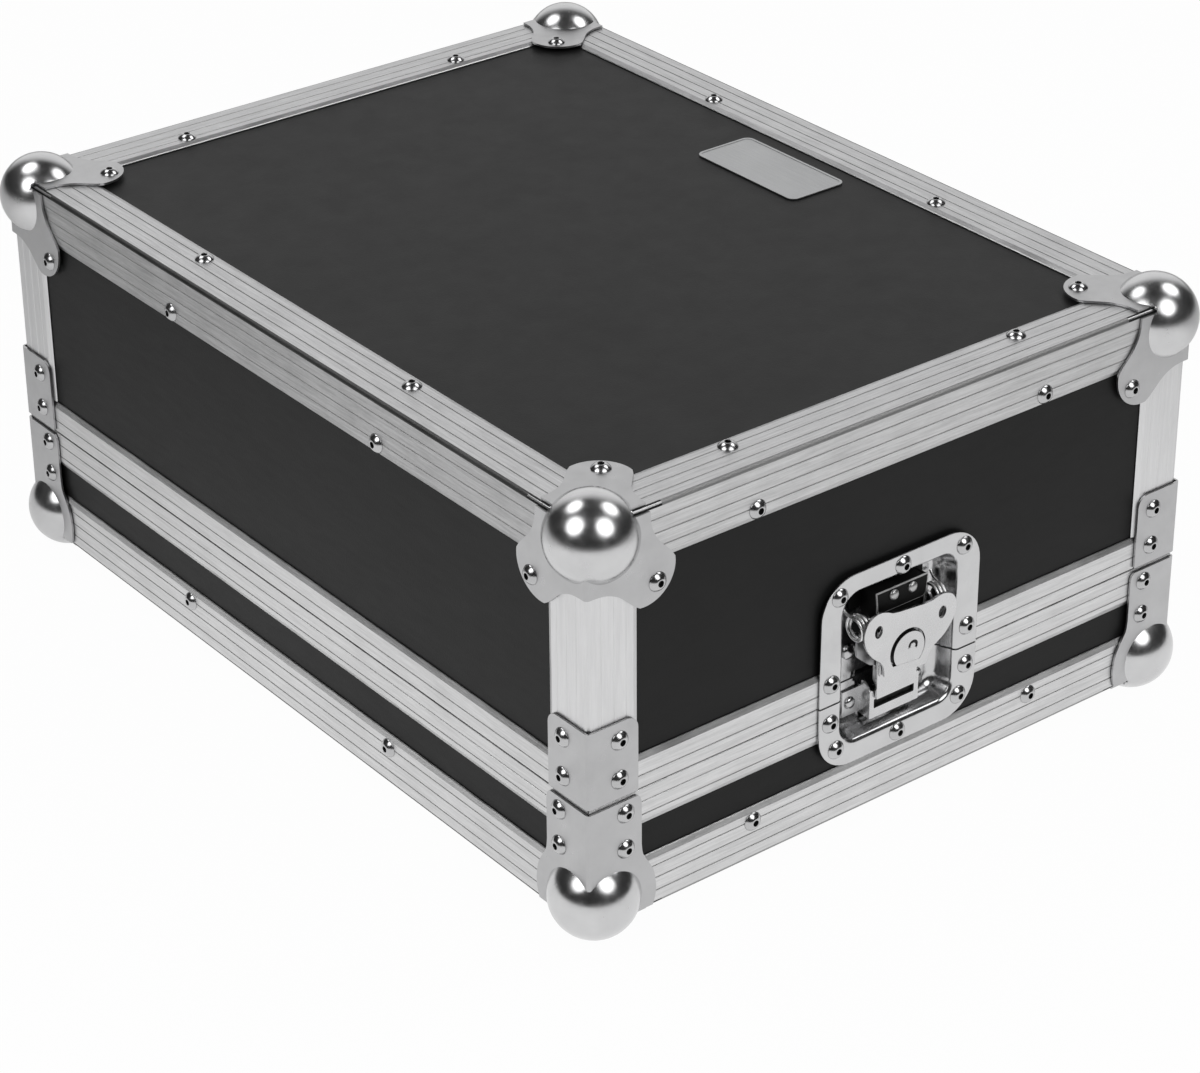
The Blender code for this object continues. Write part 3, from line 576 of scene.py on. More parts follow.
# The extrusions' rounded corners are painted dark: painted shade and dark reflection along the
# edges, deeper along the long sides than along the short ones.
ROUND = drawn("dark_rounded_corner", grey(0.07), grey(0.13), Grain.Y, smooth=0.45, rough=0.55)
FAINT_ROUND_SHADE = drawn("pale_rounded_corner", grey(0.26), grey(0.38), smooth=0.5, rough=0.6)
BALL_STEEL = plated("polished_ball_steel", grey(0.57, 0.005), grey(0.63, 0.005), 0.18, 0.28,
                    0.00003)
CORNER_STEEL = plated("satin_corner_steel", grey(0.46, 0.005), grey(0.50, 0.005), 0.27, 0.38,
                      0.00003)
DISH_STEEL = plated("bright_dish_steel", grey(0.54, 0.005), grey(0.60, 0.005), 0.17, 0.24,
                    0.00002)
LATCH_STEEL = plated("latch_steel", grey(0.58, 0.005), grey(0.63, 0.005), 0.24, 0.30, 0.00002)
# A darker copy of the latch steel for the carrier: painted shade of the wing and the dish over it.
CARRIER_STEEL = plated("shaded_carrier_steel", grey(0.30, 0.005), grey(0.44, 0.005), 0.26, 0.34,
                       0.00002)
RIVET_STEEL = plated("rivet_steel", grey(0.46, 0.005), grey(0.54, 0.005), 0.16, 0.22)
PIN_STEEL = plated("dull_rivet_steel", grey(0.42), grey(0.52), 0.34, 0.42)
WIRE_STEEL = PressedMetal("spring_wire", "spring_steel", grey(0.78), grey(0.88), 0.22, 0.32)
BLACK_STEEL = DarkMetal("painted_black_steel", "black_steel", grey(0.004), grey(0.009), 0.0,
                        0.45, specular=0.1)
# A pale metal for the black bracket's bevelled edges: a painted highlight along them.
EDGE_HIGHLIGHT = DarkMetal("worn_black_edge", "black_steel", grey(0.34), grey(0.60), 0.35, 0.35, 0.5)
# Near-black metal for painted shadow: in rivet holes, the extrusions' slots, the keeper's inside
# and round the latch's head.
PAINTED_SHADOW = DarkMetal("rivet_hole_shadow", "plated_steel", grey(0.010), grey(0.03), 0.6)
PLATE_SATIN = DrawnMetal("satin_plate", "plate", (0.40, 0.405, 0.41), (0.50, 0.505, 0.51),
                         Grain.Y, 0.34, 0.46)
FOAM = Foam("closed_cell_foam", "foam", grey(0.035, 0.003), grey(0.062, 0.004))
RUBBER = Rubber("moulded_rubber", "rubber", grey(0.014), grey(0.034))


# Solids

def of_kind(parts: Iterable[object], kind: type) -> list:
    """Return those parts of an operator's result that are of one kind."""
    return [part for part in parts if isinstance(part, kind)]


def ring_edges(bm: bmesh.types.BMesh, points: Iterable[Sequence[float]]) -> list[Edge]:
    """Add a closed ring of points, and return its edges."""
    ring = [bm.verts.new(point) for point in points]
    return [bm.edges.new((ring[i - 1], vert)) for i, vert in enumerate(ring)]


def close_rings(bm: bmesh.types.BMesh, edges: list[Edge], has_holes: bool) -> None:
    """Close a ring with one face, or with triangles where other rings are left open in it.

    Args:
        bm: The mesh that they are in.
        edges: The edges of every ring.
        has_holes: Whether there are rings to leave open.
    """
    if has_holes:
        bmesh.ops.triangle_fill(bm, use_beauty=True, edges=edges)
    else:
        bmesh.ops.edgeloop_fill(bm, edges=edges)


def facing(direction: Vector) -> Matrix:
    """Return the turn that takes Z to a direction."""
    return direction.to_track_quat("Z", "Y").to_matrix().to_4x4()


def in_scene(name: str, data: bpy.types.ID) -> bpy.types.Object:
    """Return a new object of the scene.

    Args:
        name: Its name.
        data: Its mesh, lamp or camera.

    Returns:
        The object.
    """
    made = bpy.data.objects.new(name, data)
    bpy.context.scene.collection.objects.link(made)
    return made


class Solid:
    """A mesh in millimetres that bmesh operators shape until it becomes a piece."""

    def __init__(self, bm: bmesh.types.BMesh | None = None) -> None:
        """Start empty, or take over a bmesh."""
        self.bm = bm or bmesh.new()

    @classmethod
    def slab(cls, outline: Outline, low: float, high: float, axis: Axis,
             holes: Iterable[Outline] = ()) -> "Solid":
        """Draw an outline out along an axis.

        Args:
            outline: The outline's points across the axis.
            low: Where it starts along the axis.
            high: Where it ends.
            axis: The axis.
            holes: Outlines left open in it.

        Returns:
            The closed solid.
        """
        bm = bmesh.new()
        loops = [outline, *holes]
        for loop in loops:
            ring_edges(bm, [(a, b, low) for a, b in loop])
        close_rings(bm, bm.edges[:], len(loops) > 1)
        raised = bmesh.ops.extrude_face_region(bm, geom=bm.faces[:])["geom"]
        verts = of_kind(raised, bmesh.types.BMVert)
        bmesh.ops.translate(bm, vec=(0, 0, high - low), verts=verts)
        bmesh.ops.transform(bm, matrix=axis.value, verts=bm.verts)
        return cls(bm).outward()

    @classmethod
    def box(cls, low: Sequence[float], high: Sequence[float]) -> "Solid":
        """Draw a box.

        Args:
            low: Its lowest corner.
            high: Its highest corner.

        Returns:
            The box.
        """
        bm = bmesh.new()
        bmesh.ops.create_cube(bm, size=1.0)
        low, high = Vector(low), Vector(high)
        bmesh.ops.scale(bm, vec=high - low, verts=bm.verts)
        bmesh.ops.translate(bm, vec=(low + high) / 2, verts=bm.verts)
        return cls(bm)

    @classmethod
    def spun(cls, profile: Outline, steps: int) -> "Solid":
        """Turn a profile about Z.

        Args:
            profile: Its (radius, height) points.
            steps: How many steps a full turn has.

        Returns:
            The closed solid.
        """
        bm = bmesh.new()
        verts = [bm.verts.new((r, 0, z)) for r, z in profile]
        edges = [bm.edges.new(pair) for pair in zip(verts, verts[1:])]
        bmesh.ops.spin(bm, geom=verts + edges, cent=(0, 0, 0), axis=(0, 0, 1),
                       angle=2 * math.pi, steps=steps, use_merge=True)
        bmesh.ops.remove_doubles(bm, verts=bm.verts, dist=1e-4)
        return cls(bm).outward()

    @classmethod
    def ball(cls, centre: Sequence[float], radius: float, across: int, up: int) -> "Solid":
        """Draw a ball.

        Args:
            centre: Its middle.
            radius: Its radius.
            across: How many faces it has round its middle.
            up: How many it has from pole to pole.

        Returns:
            The ball.
        """
        bm = bmesh.new()
        bmesh.ops.create_uvsphere(bm, u_segments=across, v_segments=up, radius=radius)
        bmesh.ops.translate(bm, vec=centre, verts=bm.verts)
        return cls(bm)

    @classmethod
    def tube(cls, path: Sequence[Vector], radius: float, sides: int) -> "Solid":
        """Draw a circle along a path, turning it a little at each point.

        Args:
            path: The path's points.
            radius: The circle's radius.
            sides: How many sides the circle has.

        Returns:
            The closed rod.
        """
        bm = bmesh.new()
        points = [Vector(p) for p in path]
        ways = [
            (points[min(i + 1, len(points) - 1)] - points[max(i - 1, 0)]).normalized()
            for i in range(len(points))
        ]
        start = Matrix.Translation(points[0]) @ facing(ways[0])
        bmesh.ops.create_circle(bm, cap_ends=False, radius=radius, segments=sides, matrix=start)
        first = edges = bm.edges[:]
        for here, there, before, after in zip(points, points[1:], ways, ways[1:]):
            made = bmesh.ops.extrude_edge_only(bm, edges=edges)["geom"]
            edges = of_kind(made, Edge)
            turn = before.rotation_difference(after).to_matrix().to_4x4()
            matrix = Matrix.Translation(there) @ turn @ Matrix.Translation(-here)
            bmesh.ops.transform(bm, matrix=matrix, verts=of_kind(made, bmesh.types.BMVert))
        for ring in (first, edges):
            bmesh.ops.edgeloop_fill(bm, edges=ring)
        return cls(bm).outward()

    @classmethod
    def rings(cls, loops: Sequence[Sequence[Vector]],
              holes: Sequence[Sequence[Vector]] = ()) -> "Solid":
        """Bridge closed loops of equal length, one to the next, and close the last.

        Args:
            loops: The loops' points.
            holes: Loops left open in the face that closes it.

        Returns:
            The open shell.
        """
        bm = bmesh.new()
        before: list[Edge] = []
        for loop in loops:
            edges = ring_edges(bm, loop)
            if before:
                bmesh.ops.bridge_loops(bm, edges=before + edges)
            before = edges
        for hole in holes:
            before += ring_edges(bm, hole)
        close_rings(bm, before, bool(holes))
        return cls(bm)

    def outward(self) -> "Solid":
        """Point every face outwards."""
        bmesh.ops.recalc_face_normals(self.bm, faces=self.bm.faces)
        return self

    def moved(self, matrix: Matrix) -> "Solid":
        """Move the solid, and keep its faces pointing out.

        Args:
            matrix: The move, which may mirror it.

        Returns:
            The same solid.
        """
        bmesh.ops.transform(self.bm, matrix=matrix, verts=self.bm.verts)
        if matrix.determinant() < 0:
            bmesh.ops.reverse_faces(self.bm, faces=self.bm.faces)
        return self

    def sliced(self, point: Sequence[float], normal: Sequence[float],
               away: bool = False) -> list[Edge]:
        """Cut the faces along a plane.

        Args:
            point: A point of the plane.
            normal: The plane's direction.
            away: Whether what lies beyond it is taken away.

        Returns:
            The edges in the plane.
        """
        geom = self.bm.verts[:] + self.bm.edges[:] + self.bm.faces[:]
        cut = bmesh.ops.bisect_plane(self.bm, geom=geom, plane_co=point, plane_no=normal,
                                     clear_outer=away)["geom_cut"]
        return of_kind(cut, Edge)

    def trimmed(self, point: Sequence[float], normal: Sequence[float],
                fill: bool = True) -> "Solid":
        """Take away what lies beyond a plane.

        Args:
            point: A point of the plane.
            normal: The direction of what goes.
            fill: Whether the cut is closed.

        Returns:
            The same solid.
        """
        edges = self.sliced(point, normal, True)
        if fill:
            bmesh.ops.edgeloop_fill(self.bm, edges=edges)
        return self

    def softened(self, width: float, segments: int = 2, angle: float = 40.0,
                 where: Callable[[Edge], bool] | None = None) -> "Solid":
        """Bevel the edges that turn sharply.

        Args:
            width: The bevel's width.
            segments: Its segments.
            angle: The least turn of a bevelled edge in degrees.
            where: Picks edges among them.

        Returns:
            The same solid.
        """
        limit = math.radians(angle)
        edges = [
            edge for edge in self.bm.edges
            if len(edge.link_faces) == 2 and edge.calc_face_angle(0.0) > limit
            and (where is None or where(edge))
        ]
        bmesh.ops.bevel(self.bm, geom=edges, offset=width, offset_type="OFFSET", affect="EDGES",
                        segments=segments, profile=0.5, material=-1, clamp_overlap=True)
        return self

    def to_mesh(self, name: str) -> bpy.types.Mesh:
        """Make the solid a mesh, and end it.

        Args:
            name: The mesh's name.

        Returns:
            The mesh.
        """
        mesh = bpy.data.meshes.new(name)
        self.bm.to_mesh(mesh)
        self.bm.free()
        return mesh

    def blended(self, how: Blend, *others: "Solid") -> "Solid":
        """Join, cut or keep with other solids, which it uses up.

        Args:
            how: What is done.
            *others: The other solids.

        Returns:
            The same solid.
        """
        body, *tools = [in_scene("work", one.to_mesh("work")) for one in (self, *others)]
        for tool in tools:
            step = body.modifiers.new("step", "BOOLEAN")
            step.operation = how.value
            step.object = tool
        evaluated = body.evaluated_get(bpy.context.evaluated_depsgraph_get())
        self.bm = bmesh.new()
        self.bm.from_mesh(evaluated.to_mesh())
        evaluated.to_mesh_clear()
        for work in (body, *tools):
            mesh = work.data
            bpy.data.objects.remove(work)
            bpy.data.meshes.remove(mesh)
        return self

    def joined(self, *others: "Solid") -> "Solid":
        """Join other solids into this one."""
        return self.blended(Blend.JOIN, *others)

    def cut(self, *others: "Solid") -> "Solid":
        """Cut other solids out of this one."""
        return self.blended(Blend.CUT, *others)

    def kept(self, other: "Solid") -> "Solid":
        """Keep only what lies inside another solid."""
        return self.blended(Blend.KEEP, other)

    def with_parts(self, *others: "Solid") -> "Solid":
        """Add other solids as they are, as separate bodies of one piece.

        Args:
            *others: The other solids, which it uses up.

        Returns:
            The same solid.
        """
        for other in others:
            mesh = other.to_mesh("part")
            self.bm.from_mesh(mesh)
            bpy.data.meshes.remove(mesh)
        return self

    def piece(self, name: str, finish: Finish, body: str, replaces: Sequence[str] = (),
              more: Sequence[Finish] = (), sharp: float = 40.0) -> bpy.types.Object:
        """Make the solid a finished piece of the case, in metres.

        Args:
            name: The piece's name.
            finish: Its finish.
            body: The CAD body that it moves with.
            replaces: The CAD nodes that it stands for.
            more: Finishes of faces with a higher material index.
            sharp: The turn in degrees from which an edge is shaded sharp.

        Returns:
            The piece's object.
        """
        bmesh.ops.scale(self.bm, vec=(MM, MM, MM), verts=self.bm.verts)
        mesh = self.to_mesh(name)
        mesh.shade_smooth()
        mesh.set_sharp_from_angle(angle=math.radians(sharp))
        for one in (finish, *more):
            mesh.materials.append(one.material())
        made = in_scene(name, mesh)
        even = made.modifiers.new("even_normals", "WEIGHTED_NORMAL")
        even.keep_sharp = True
        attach(made, body)
        if replaces:
            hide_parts(*replaces)
        return made


# The case's plan

@dataclass(frozen=True)
class Plan:
    """Outer sizes of the case, and places on it."""

    half_x: float = 194.0
    half_y: float = 257.7
    height: float = 220.0
    seam: float = 70.0
    foot: float = 10.5
    rim_out: float = 1.5

    def up(self, height: float) -> float:
        """Return a height above the ground for one above the case's underside."""
        return self.foot + height

    def turn(self, side: Side) -> Matrix:
        """Return the turn that takes a piece of the front to another side."""
        return Matrix.Rotation(math.radians(90 * side.value), 4, "Z")

    def half_depth(self, side: Side) -> float:
        """Return how far the outer face of a side is from the middle."""
        return self.half_y if side.short else self.half_x

    def half_width(self, side: Side) -> float:
        """Return half the length of a side."""
        return self.half_x if side.short else self.half_y

    def outward(self, side: Side) -> Vector:
        """Return the direction that a side faces."""
        return self.turn(side) @ Vector((0, -1, 0))

    def point(self, a: float, depth: float, height: float, side: Side) -> Vector:
        """Return the point a along a side, depth inwards from its face, at a height."""
        return self.turn(side) @ Vector((a, depth - self.half_depth(side), self.up(height)))

    def on_side(self, solid: Solid, side: Side) -> Solid:
        """Move a solid that is drawn behind the plane of X and Z to a side's face."""
        shift = Matrix.Translation((0, -self.half_depth(side), self.foot))
        return solid.moved(self.turn(side) @ shift)

    def panel(self, outline: Outline, low: float, high: float, side: Side,
              holes: Iterable[Outline] = ()) -> Solid:
        """Draw an outline of (along, height) points between two depths behind a side's face."""
        return self.on_side(Solid.slab(outline, low, high, Axis.Y, holes), side)

    def rib(self, outline: Outline, low: float, high: float, side: Side) -> Solid:
        """Draw an outline of (depth, height) points along a side."""
        return self.on_side(Solid.slab(outline, low, high, Axis.X), side)

    def corner(self, corner: Corner, height: float, flip: int = 1) -> Matrix:
        """Return the move of a piece that is drawn at a corner where all faces are at zero.

        Args:
            corner: The corner that it goes to.
            height: The corner's height above the case's underside.
            flip: -1 turns it upside down.

        Returns:
            The move.
        """
        side = corner.value
        start = Vector((-self.half_width(side), -self.half_depth(side), self.up(height)))
        here = self.turn(side) @ start
        return Matrix.Translation(here) @ self.turn(side) @ Matrix.Diagonal((1, 1, flip, 1))


PLAN = Plan()


@dataclass(frozen=True)
class Rivets:
    """Pop rivets: a domed head with the mandrel's hole in its middle."""

    radius: float = 5.1
    height: float = 2.7
    hole: float = 1.6
    steps: int = 32

    def head(self) -> Solid:
        """Spin one head, which stands on its face.

        Returns:
            The head, with the hole's faces in the second finish, which paints the hole's shadow.
        """
        r, h, hole = self.radius, self.height, self.hole
        dome = [
            (0.0, -0.3), (r, -0.3), (r, 0.12), (r * 0.985, 0.13 * h), (r * 0.94, 0.25 * h),
            (r * 0.88, 0.38 * h), (r * 0.80, 0.54 * h), (r * 0.71, 0.69 * h),
            (r * 0.61, 0.83 * h), (r * 0.51, 0.94 * h), (r * 0.42, 0.99 * h),
            (hole + 0.3, h), (hole + 0.08, 0.96 * h), (hole, 0.85 * h), (hole * 0.96, 0.30 * h),
            (hole * 0.5, 0.22 * h), (0.0, 0.2 * h),
        ]
        made = Solid.spun(dome, self.steps)
        for face in made.bm.faces:
            centre = face.calc_center_median()
            face.material_index = int(centre.xy.length < hole and centre.z > 0)
        return made

    def pin(self) -> Solid:
        """Spin one solid round head.

        Returns:
            The head.
        """
        r, h = self.radius, self.height
        dome = [(0.0, -0.2), (r, -0.2), (r, 0.1), (r * 0.93, 0.42 * h), (r * 0.75, 0.74 * h),
                (r * 0.48, 0.93 * h), (r * 0.2, 0.99 * h), (0.0, h)]
        return Solid.spun(dome, self.steps)

    def solid(self, places: Iterable[Place], plain: bool = False) -> Solid:
        """Make heads at several places.

        Args:
            places: Their (point, normal) pairs.
            plain: Whether they have no hole.

        Returns:
            All the heads as one solid.
        """
        made = Solid()
        for point, normal in places:
            head = self.pin() if plain else self.head()
            made.with_parts(head.moved(Matrix.Translation(point) @ facing(normal)))
        return made

    def set_in(self, name: str, places: Iterable[Place], body: str,
               move: Matrix | None = None) -> None:
        """Make the rivets of one host a piece.

        Args:
            name: The piece's name.
            places: Their (point, normal) pairs.
            body: The CAD body that they move with.
            move: Takes them from where they are drawn to their host.
        """
        heads = self.solid(places)
        if move is not None:
            heads.moved(move)
        heads.piece(name, RIVET_STEEL, body, more=[PAINTED_SHADOW])


RIVETS = Rivets()


# Extrusions

@dataclass(frozen=True)
class Extrusion:
    """The double-angle edge section: two grooved flanges with a slot for the panels."""

    flange: float = 30.0
    wall: float = 1.7
    round: float = 2.1
    bevel: float = 3.0
    tip: float = 1.2
    slot: float = 7.6
    inner: float = 1.2
    reach: float = 22.0
    web: float = 1.13
    grooves: tuple[float, ...] = (8.0, 15.4, 22.6)
    rounded: bool = False
    slot_ends: Pair = (0.0, 0.0)
    groove_width: float = 0.8
    groove_depth: float = 0.35
    groove_foot: float = 0.55
    gap: float = 0.25

    def groove(self, at: float) -> Outline:
        """Draw one groove across a flange.

        Args:
            at: How far along the flange its middle is.

        Returns:
            Its (along, deep) points.
        """
        half, deep = self.groove_width / 2, self.groove_depth
        foot = half * self.groove_foot
        return [(at - half, 0.0), (at - foot, deep), (at + foot, deep), (at + half, 0.0)]

    def profile(self) -> Outline:
        """Draw the section.

        Returns:
            Its (in from the side, in from the top) points.
        """
        slot_in = self.wall + self.slot
        back = slot_in + self.inner
        r = self.round
        turns = map(math.radians, (45, 30, 15, 0))
        half = [(r - r * math.sin(t), r - r * math.cos(t)) for t in turns]
        for at in self.grooves:
            half += self.groove(at)
        half += [
            (self.flange - self.bevel, 0.0), (self.flange - 0.35, self.tip - 0.14),
            (self.flange, self.tip + 0.2), (self.flange, self.wall),
            (self.wall + self.web, self.wall), (slot_in + self.web, slot_in),
            (self.reach, slot_in), (self.reach, back), (back, back),
        ]
        return half + [(v, u) for u, v in reversed(half[1:-1])]

    def facet(self, along: float, u: float, v: float) -> Facet:
        """Tell what kind of face one of the section's is.

        Args:
            along: The face's middle, from the middle of the side.
            u: How far in it is from the side.
            v: How far in it is from the top.

        Returns:
            The kind.
        """
        for across, deep in ((u, v), (v, u)):
            near = any(abs(across - at) < self.groove_width * 0.6 for at in self.grooves)
            if near and 0.02 < deep < self.groove_depth + 0.05:
                return Facet.GROOVE
        # The rounded corner takes painted shade; where a corner's slot bares it, its sides take
        # painted shadow and its middle stays plain.
        if self.rounded and max(u, v) < self.round - 0.1:
            at_slot = self.slot_ends[0] < abs(along) < self.slot_ends[1]
            if at_slot and min(u, v) > self.round * 0.13:
                return Facet.PLAIN
            return Facet.SLOT if at_slot else Facet.ROUND
        # Upright faces take a copy of the aluminium with painted light or shade.
        return Facet.UPRIGHT if u < v and v < self.flange + 1 else Facet.PLAIN

    def shaded(self, solid: Solid, section: Callable[[Vector], Pair]) -> Solid:
        """Give each face its finish.

        Args:
            solid: The extrusion along X, before it is turned to its side.
            section: Gives a point's place in the section.

        Returns:
            The same solid.
        """
        for at in self.slot_ends if self.rounded else ():
            for sign in (-1, 1):
                solid.sliced((sign * at, 0, 0), (1, 0, 0))
        for face in solid.bm.faces:
            centre = face.calc_center_median()
            face.material_index = self.facet(centre.x, *section(centre))
        return solid

    def run(self, outline: Outline, side: Side, start: float, end: float,
            section: Callable[[Vector], Pair]) -> Solid:
        """Draw a section along a side, mitred where it reaches a corner.

        Args:
            outline: The section as (depth, height above the ground) points.
            side: The side that it runs along.
            start: Where it starts along the side.
            end: Where it ends.
            section: Gives a point's place in the section, for the grooves' finish.

        Returns:
            The run in its place.
        """
        wide, deep = PLAN.half_width(side), PLAN.half_depth(side)
        made = Solid.slab(outline, start, end, Axis.X)
        made.moved(Matrix.Translation((0, -deep, 0)))
        if start <= -wide:
            made.trimmed((-wide + self.gap, -deep, 0), (-1, 1, 0))
        if end >= wide:
            made.trimmed((wide - self.gap, -deep, 0), (1, 1, 0))
        self.shaded(made, lambda p: section(p + Vector((0, deep, 0))))
        return made.moved(PLAN.turn(side))


@dataclass(frozen=True)
class EdgeFrame:
    """The extrusions along the case's twelve edges, with their rivets."""

    post: Extrusion = Extrusion(round=3.0, groove_width=0.45, groove_depth=0.12)
    slot_from: float = 26.0
    slot_to: float = 45.0
    overrun: float = 1.0
    rivet_along: float = 93.0
    rivet_in: float = 22.0
    rivet_down: float = 24.0
    post_foot: float = 19.0
    post_top: float = 30.3

    def edge(self, side: Side, top: bool) -> None:
        """Make one side's extrusion with its rivets.

        Args:
            side: The side.
            top: Whether it is the lid's, and not the one at the base's foot.
        """
        flat = PLAN.height if top else 0.0
        level = PLAN.up(flat)
        sign = -1 if top else 1
        wide = PLAN.half_width(side) + self.overrun
        section = Extrusion(rounded=True, slot_ends=(wide - self.slot_to, wide - self.slot_from))
        raised = [(u, level + sign * v) for u, v in section.profile()]
        made = section.run(raised, side, -wide, wide, lambda p: (p.y, sign * (p.z - level)))
        body, word = ("lid", "top") if top else ("base", "bottom")
        name = f"{body}_{word}_edge_{side.word}"
        grain = Grain.X if side.short else Grain.Y
        # The lid's and the base's upright faces differ only by painted light and shade; the rounded
        # corner takes painted shade, and the slots painted shadow.
        upright = UPRIGHT if top else LOW_UPRIGHT_PAINTED_LIGHT
        more = [GROOVE, FAINT_ROUND_SHADE if side.short else ROUND, upright[grain], PAINTED_SHADOW]
        made.piece(f"{name}_extrusion", ALUMINIUM[grain], body, [name], more, EXTRUSION_SHARP)
        height = PLAN.height - self.rivet_down if top else self.rivet_in
        places = []
        for a in (-self.rivet_along, self.rivet_along):
            places.append((PLAN.point(a, 0, height, side), PLAN.outward(side)))
            places.append((PLAN.point(a, self.rivet_in, flat, side), Vector((0, 0, -sign))))
        RIVETS.set_in(f"{name}_rivets", places, body)

    def corner_post(self, corner: Corner) -> None:
        """Make the lid's upright extrusion at a corner.

        Args:
            corner: The corner.
        """
        top = PLAN.height - self.post_top - PLAN.seam
        made = Solid.slab(self.post.profile(), self.post_foot, top, Axis.Z)
        made.moved(PLAN.corner(corner, PLAN.seam))
        name = f"lid_corner_post_{corner.word}"
        made.piece(f"{name}_extrusion", ALUMINIUM[Grain.Z], "lid", [name], sharp=EXTRUSION_SHARP)

    def build(self) -> None:
        """Make all the edges."""
        for side in Side:
            self.edge(side, True)
            self.edge(side, False)
        for corner in Corner:
            self.corner_post(corner)


@dataclass(frozen=True)
class ClosingBars:
    """The tongue-and-groove sections that meet at the seam, cut out for the latch dishes."""

    section: Extrusion = Extrusion(grooves=(7.4, 15.0))
    lid_height: float = 18.7
    lid_grooves: tuple[float, ...] = (7.4,)
    base_height: float = 21.0
    base_grooves: tuple[float, ...] = (7.6, 15.0)
    base_inner: float = 18.0
    gap: float = 0.2
    slot: float = 7.0
    web: float = 1.5
    tongue: float = 5.5
    dish_cut: float = 39.2
    overrun: float = 1.0

    def flank(self, sign: int, height: float, grooves: Sequence[float]) -> Outline:
        """Draw a section's outer face from the seam to its free edge.

        Args:
            sign: 1 for the lid, -1 for the base.
            height: How far the free edge is from the seam.
            grooves: How far the grooves are from it.

        Returns:
            Its (in, up from the seam) points.
        """
        made = [(0.35, self.gap), (0.0, self.gap + 0.35)]
        for at in grooves:
            made += [(deep, along) for along, deep in self.section.groove(at)]
        made += [(0.0, height - self.section.bevel), (1.1, height - 0.3), (1.3, height),
                 (self.section.wall, height)]
        return [(u, sign * v) for u, v in made]

    def layers(self) -> Triple:
        """Return how far in a section's outer wall, slot and inner wall end.

        Returns:
            The three depths.
        """
        wall = self.section.wall
        inner = wall + self.section.slot
        return wall, inner, inner + self.section.inner

    def lid_outline(self) -> Outline:
        """Draw the lid's section, with the groove under it.

        Returns:
            Its (in, up from the seam) points.
        """
        wall, inner, back = self.layers()
        top = self.slot + self.web
        return self.flank(1, self.lid_height, self.lid_grooves) + [
            (wall, top), (inner, top), (inner, self.lid_height), (back, self.lid_height),
            (back, self.gap), (inner, self.gap), (inner, self.slot), (wall, self.slot),
            (wall, self.gap),
        ]

    def base_outline(self) -> Outline:
        """Draw the base's section, with the tongue on it.

        Returns:
            Its (in, up from the seam) points.
        """
        wall, inner, back = self.layers()
        return self.flank(-1, self.base_height, self.base_grooves) + [
            (wall, -self.web - self.gap), (inner, -self.web - self.gap),
            (inner, -self.base_inner), (back, -self.base_inner), (back, -self.gap),
            (7.8, -self.gap), (7.5, self.tongue - 0.7), (6.8, self.tongue),
            (4.2, self.tongue), (3.5, self.tongue - 0.7), (3.2, -self.gap),
        ]

    def bar(self, outline: Outline, body: str, side: Side) -> None:
        """Make one side's bar: its long run and the two short ones to the latch dishes.

        Args:
            outline: The bar's section.
            body: The CAD body that it moves with.
            side: The long side that it runs along.
        """
        level = PLAN.up(PLAN.seam)
        raised = [(u, level + v) for u, v in outline]

        def place(point: Vector) -> Pair:
            """Return a point's depth and its distance from the seam."""
            return point.y, abs(point.z - level)

        sign = -1 if side is Side.LEFT else 1
        wide, short = PLAN.half_width(side) + self.overrun, PLAN.half_x + self.overrun
        runs = [(side, -wide, wide)]
        for end, turn in ((Side.FRONT, sign), (Side.REAR, -sign)):
            runs.append((end, *sorted((turn * self.dish_cut, turn * short))))
        name = f"{body}_closing_bar_{side.word}"
        for end, low, high in runs:
            made = self.section.run(raised, end, low, high, place)
            grain = Grain.X if end.short else Grain.Y
            # The bars' upright faces take the paler copy, with painted light.
            made.piece(f"{name}_{end.word}_run", ALUMINIUM[grain], body,
                       [name] if end is side else [], [GROOVE, ROUND, LOW_UPRIGHT_PAINTED_LIGHT[grain]],
                       EXTRUSION_SHARP)

    def build(self) -> None:
        """Make both halves' bars."""
        for side in (Side.LEFT, Side.RIGHT):
            self.bar(self.lid_outline(), "lid", side)
            self.bar(self.base_outline(), "base", side)


# Corner hardware

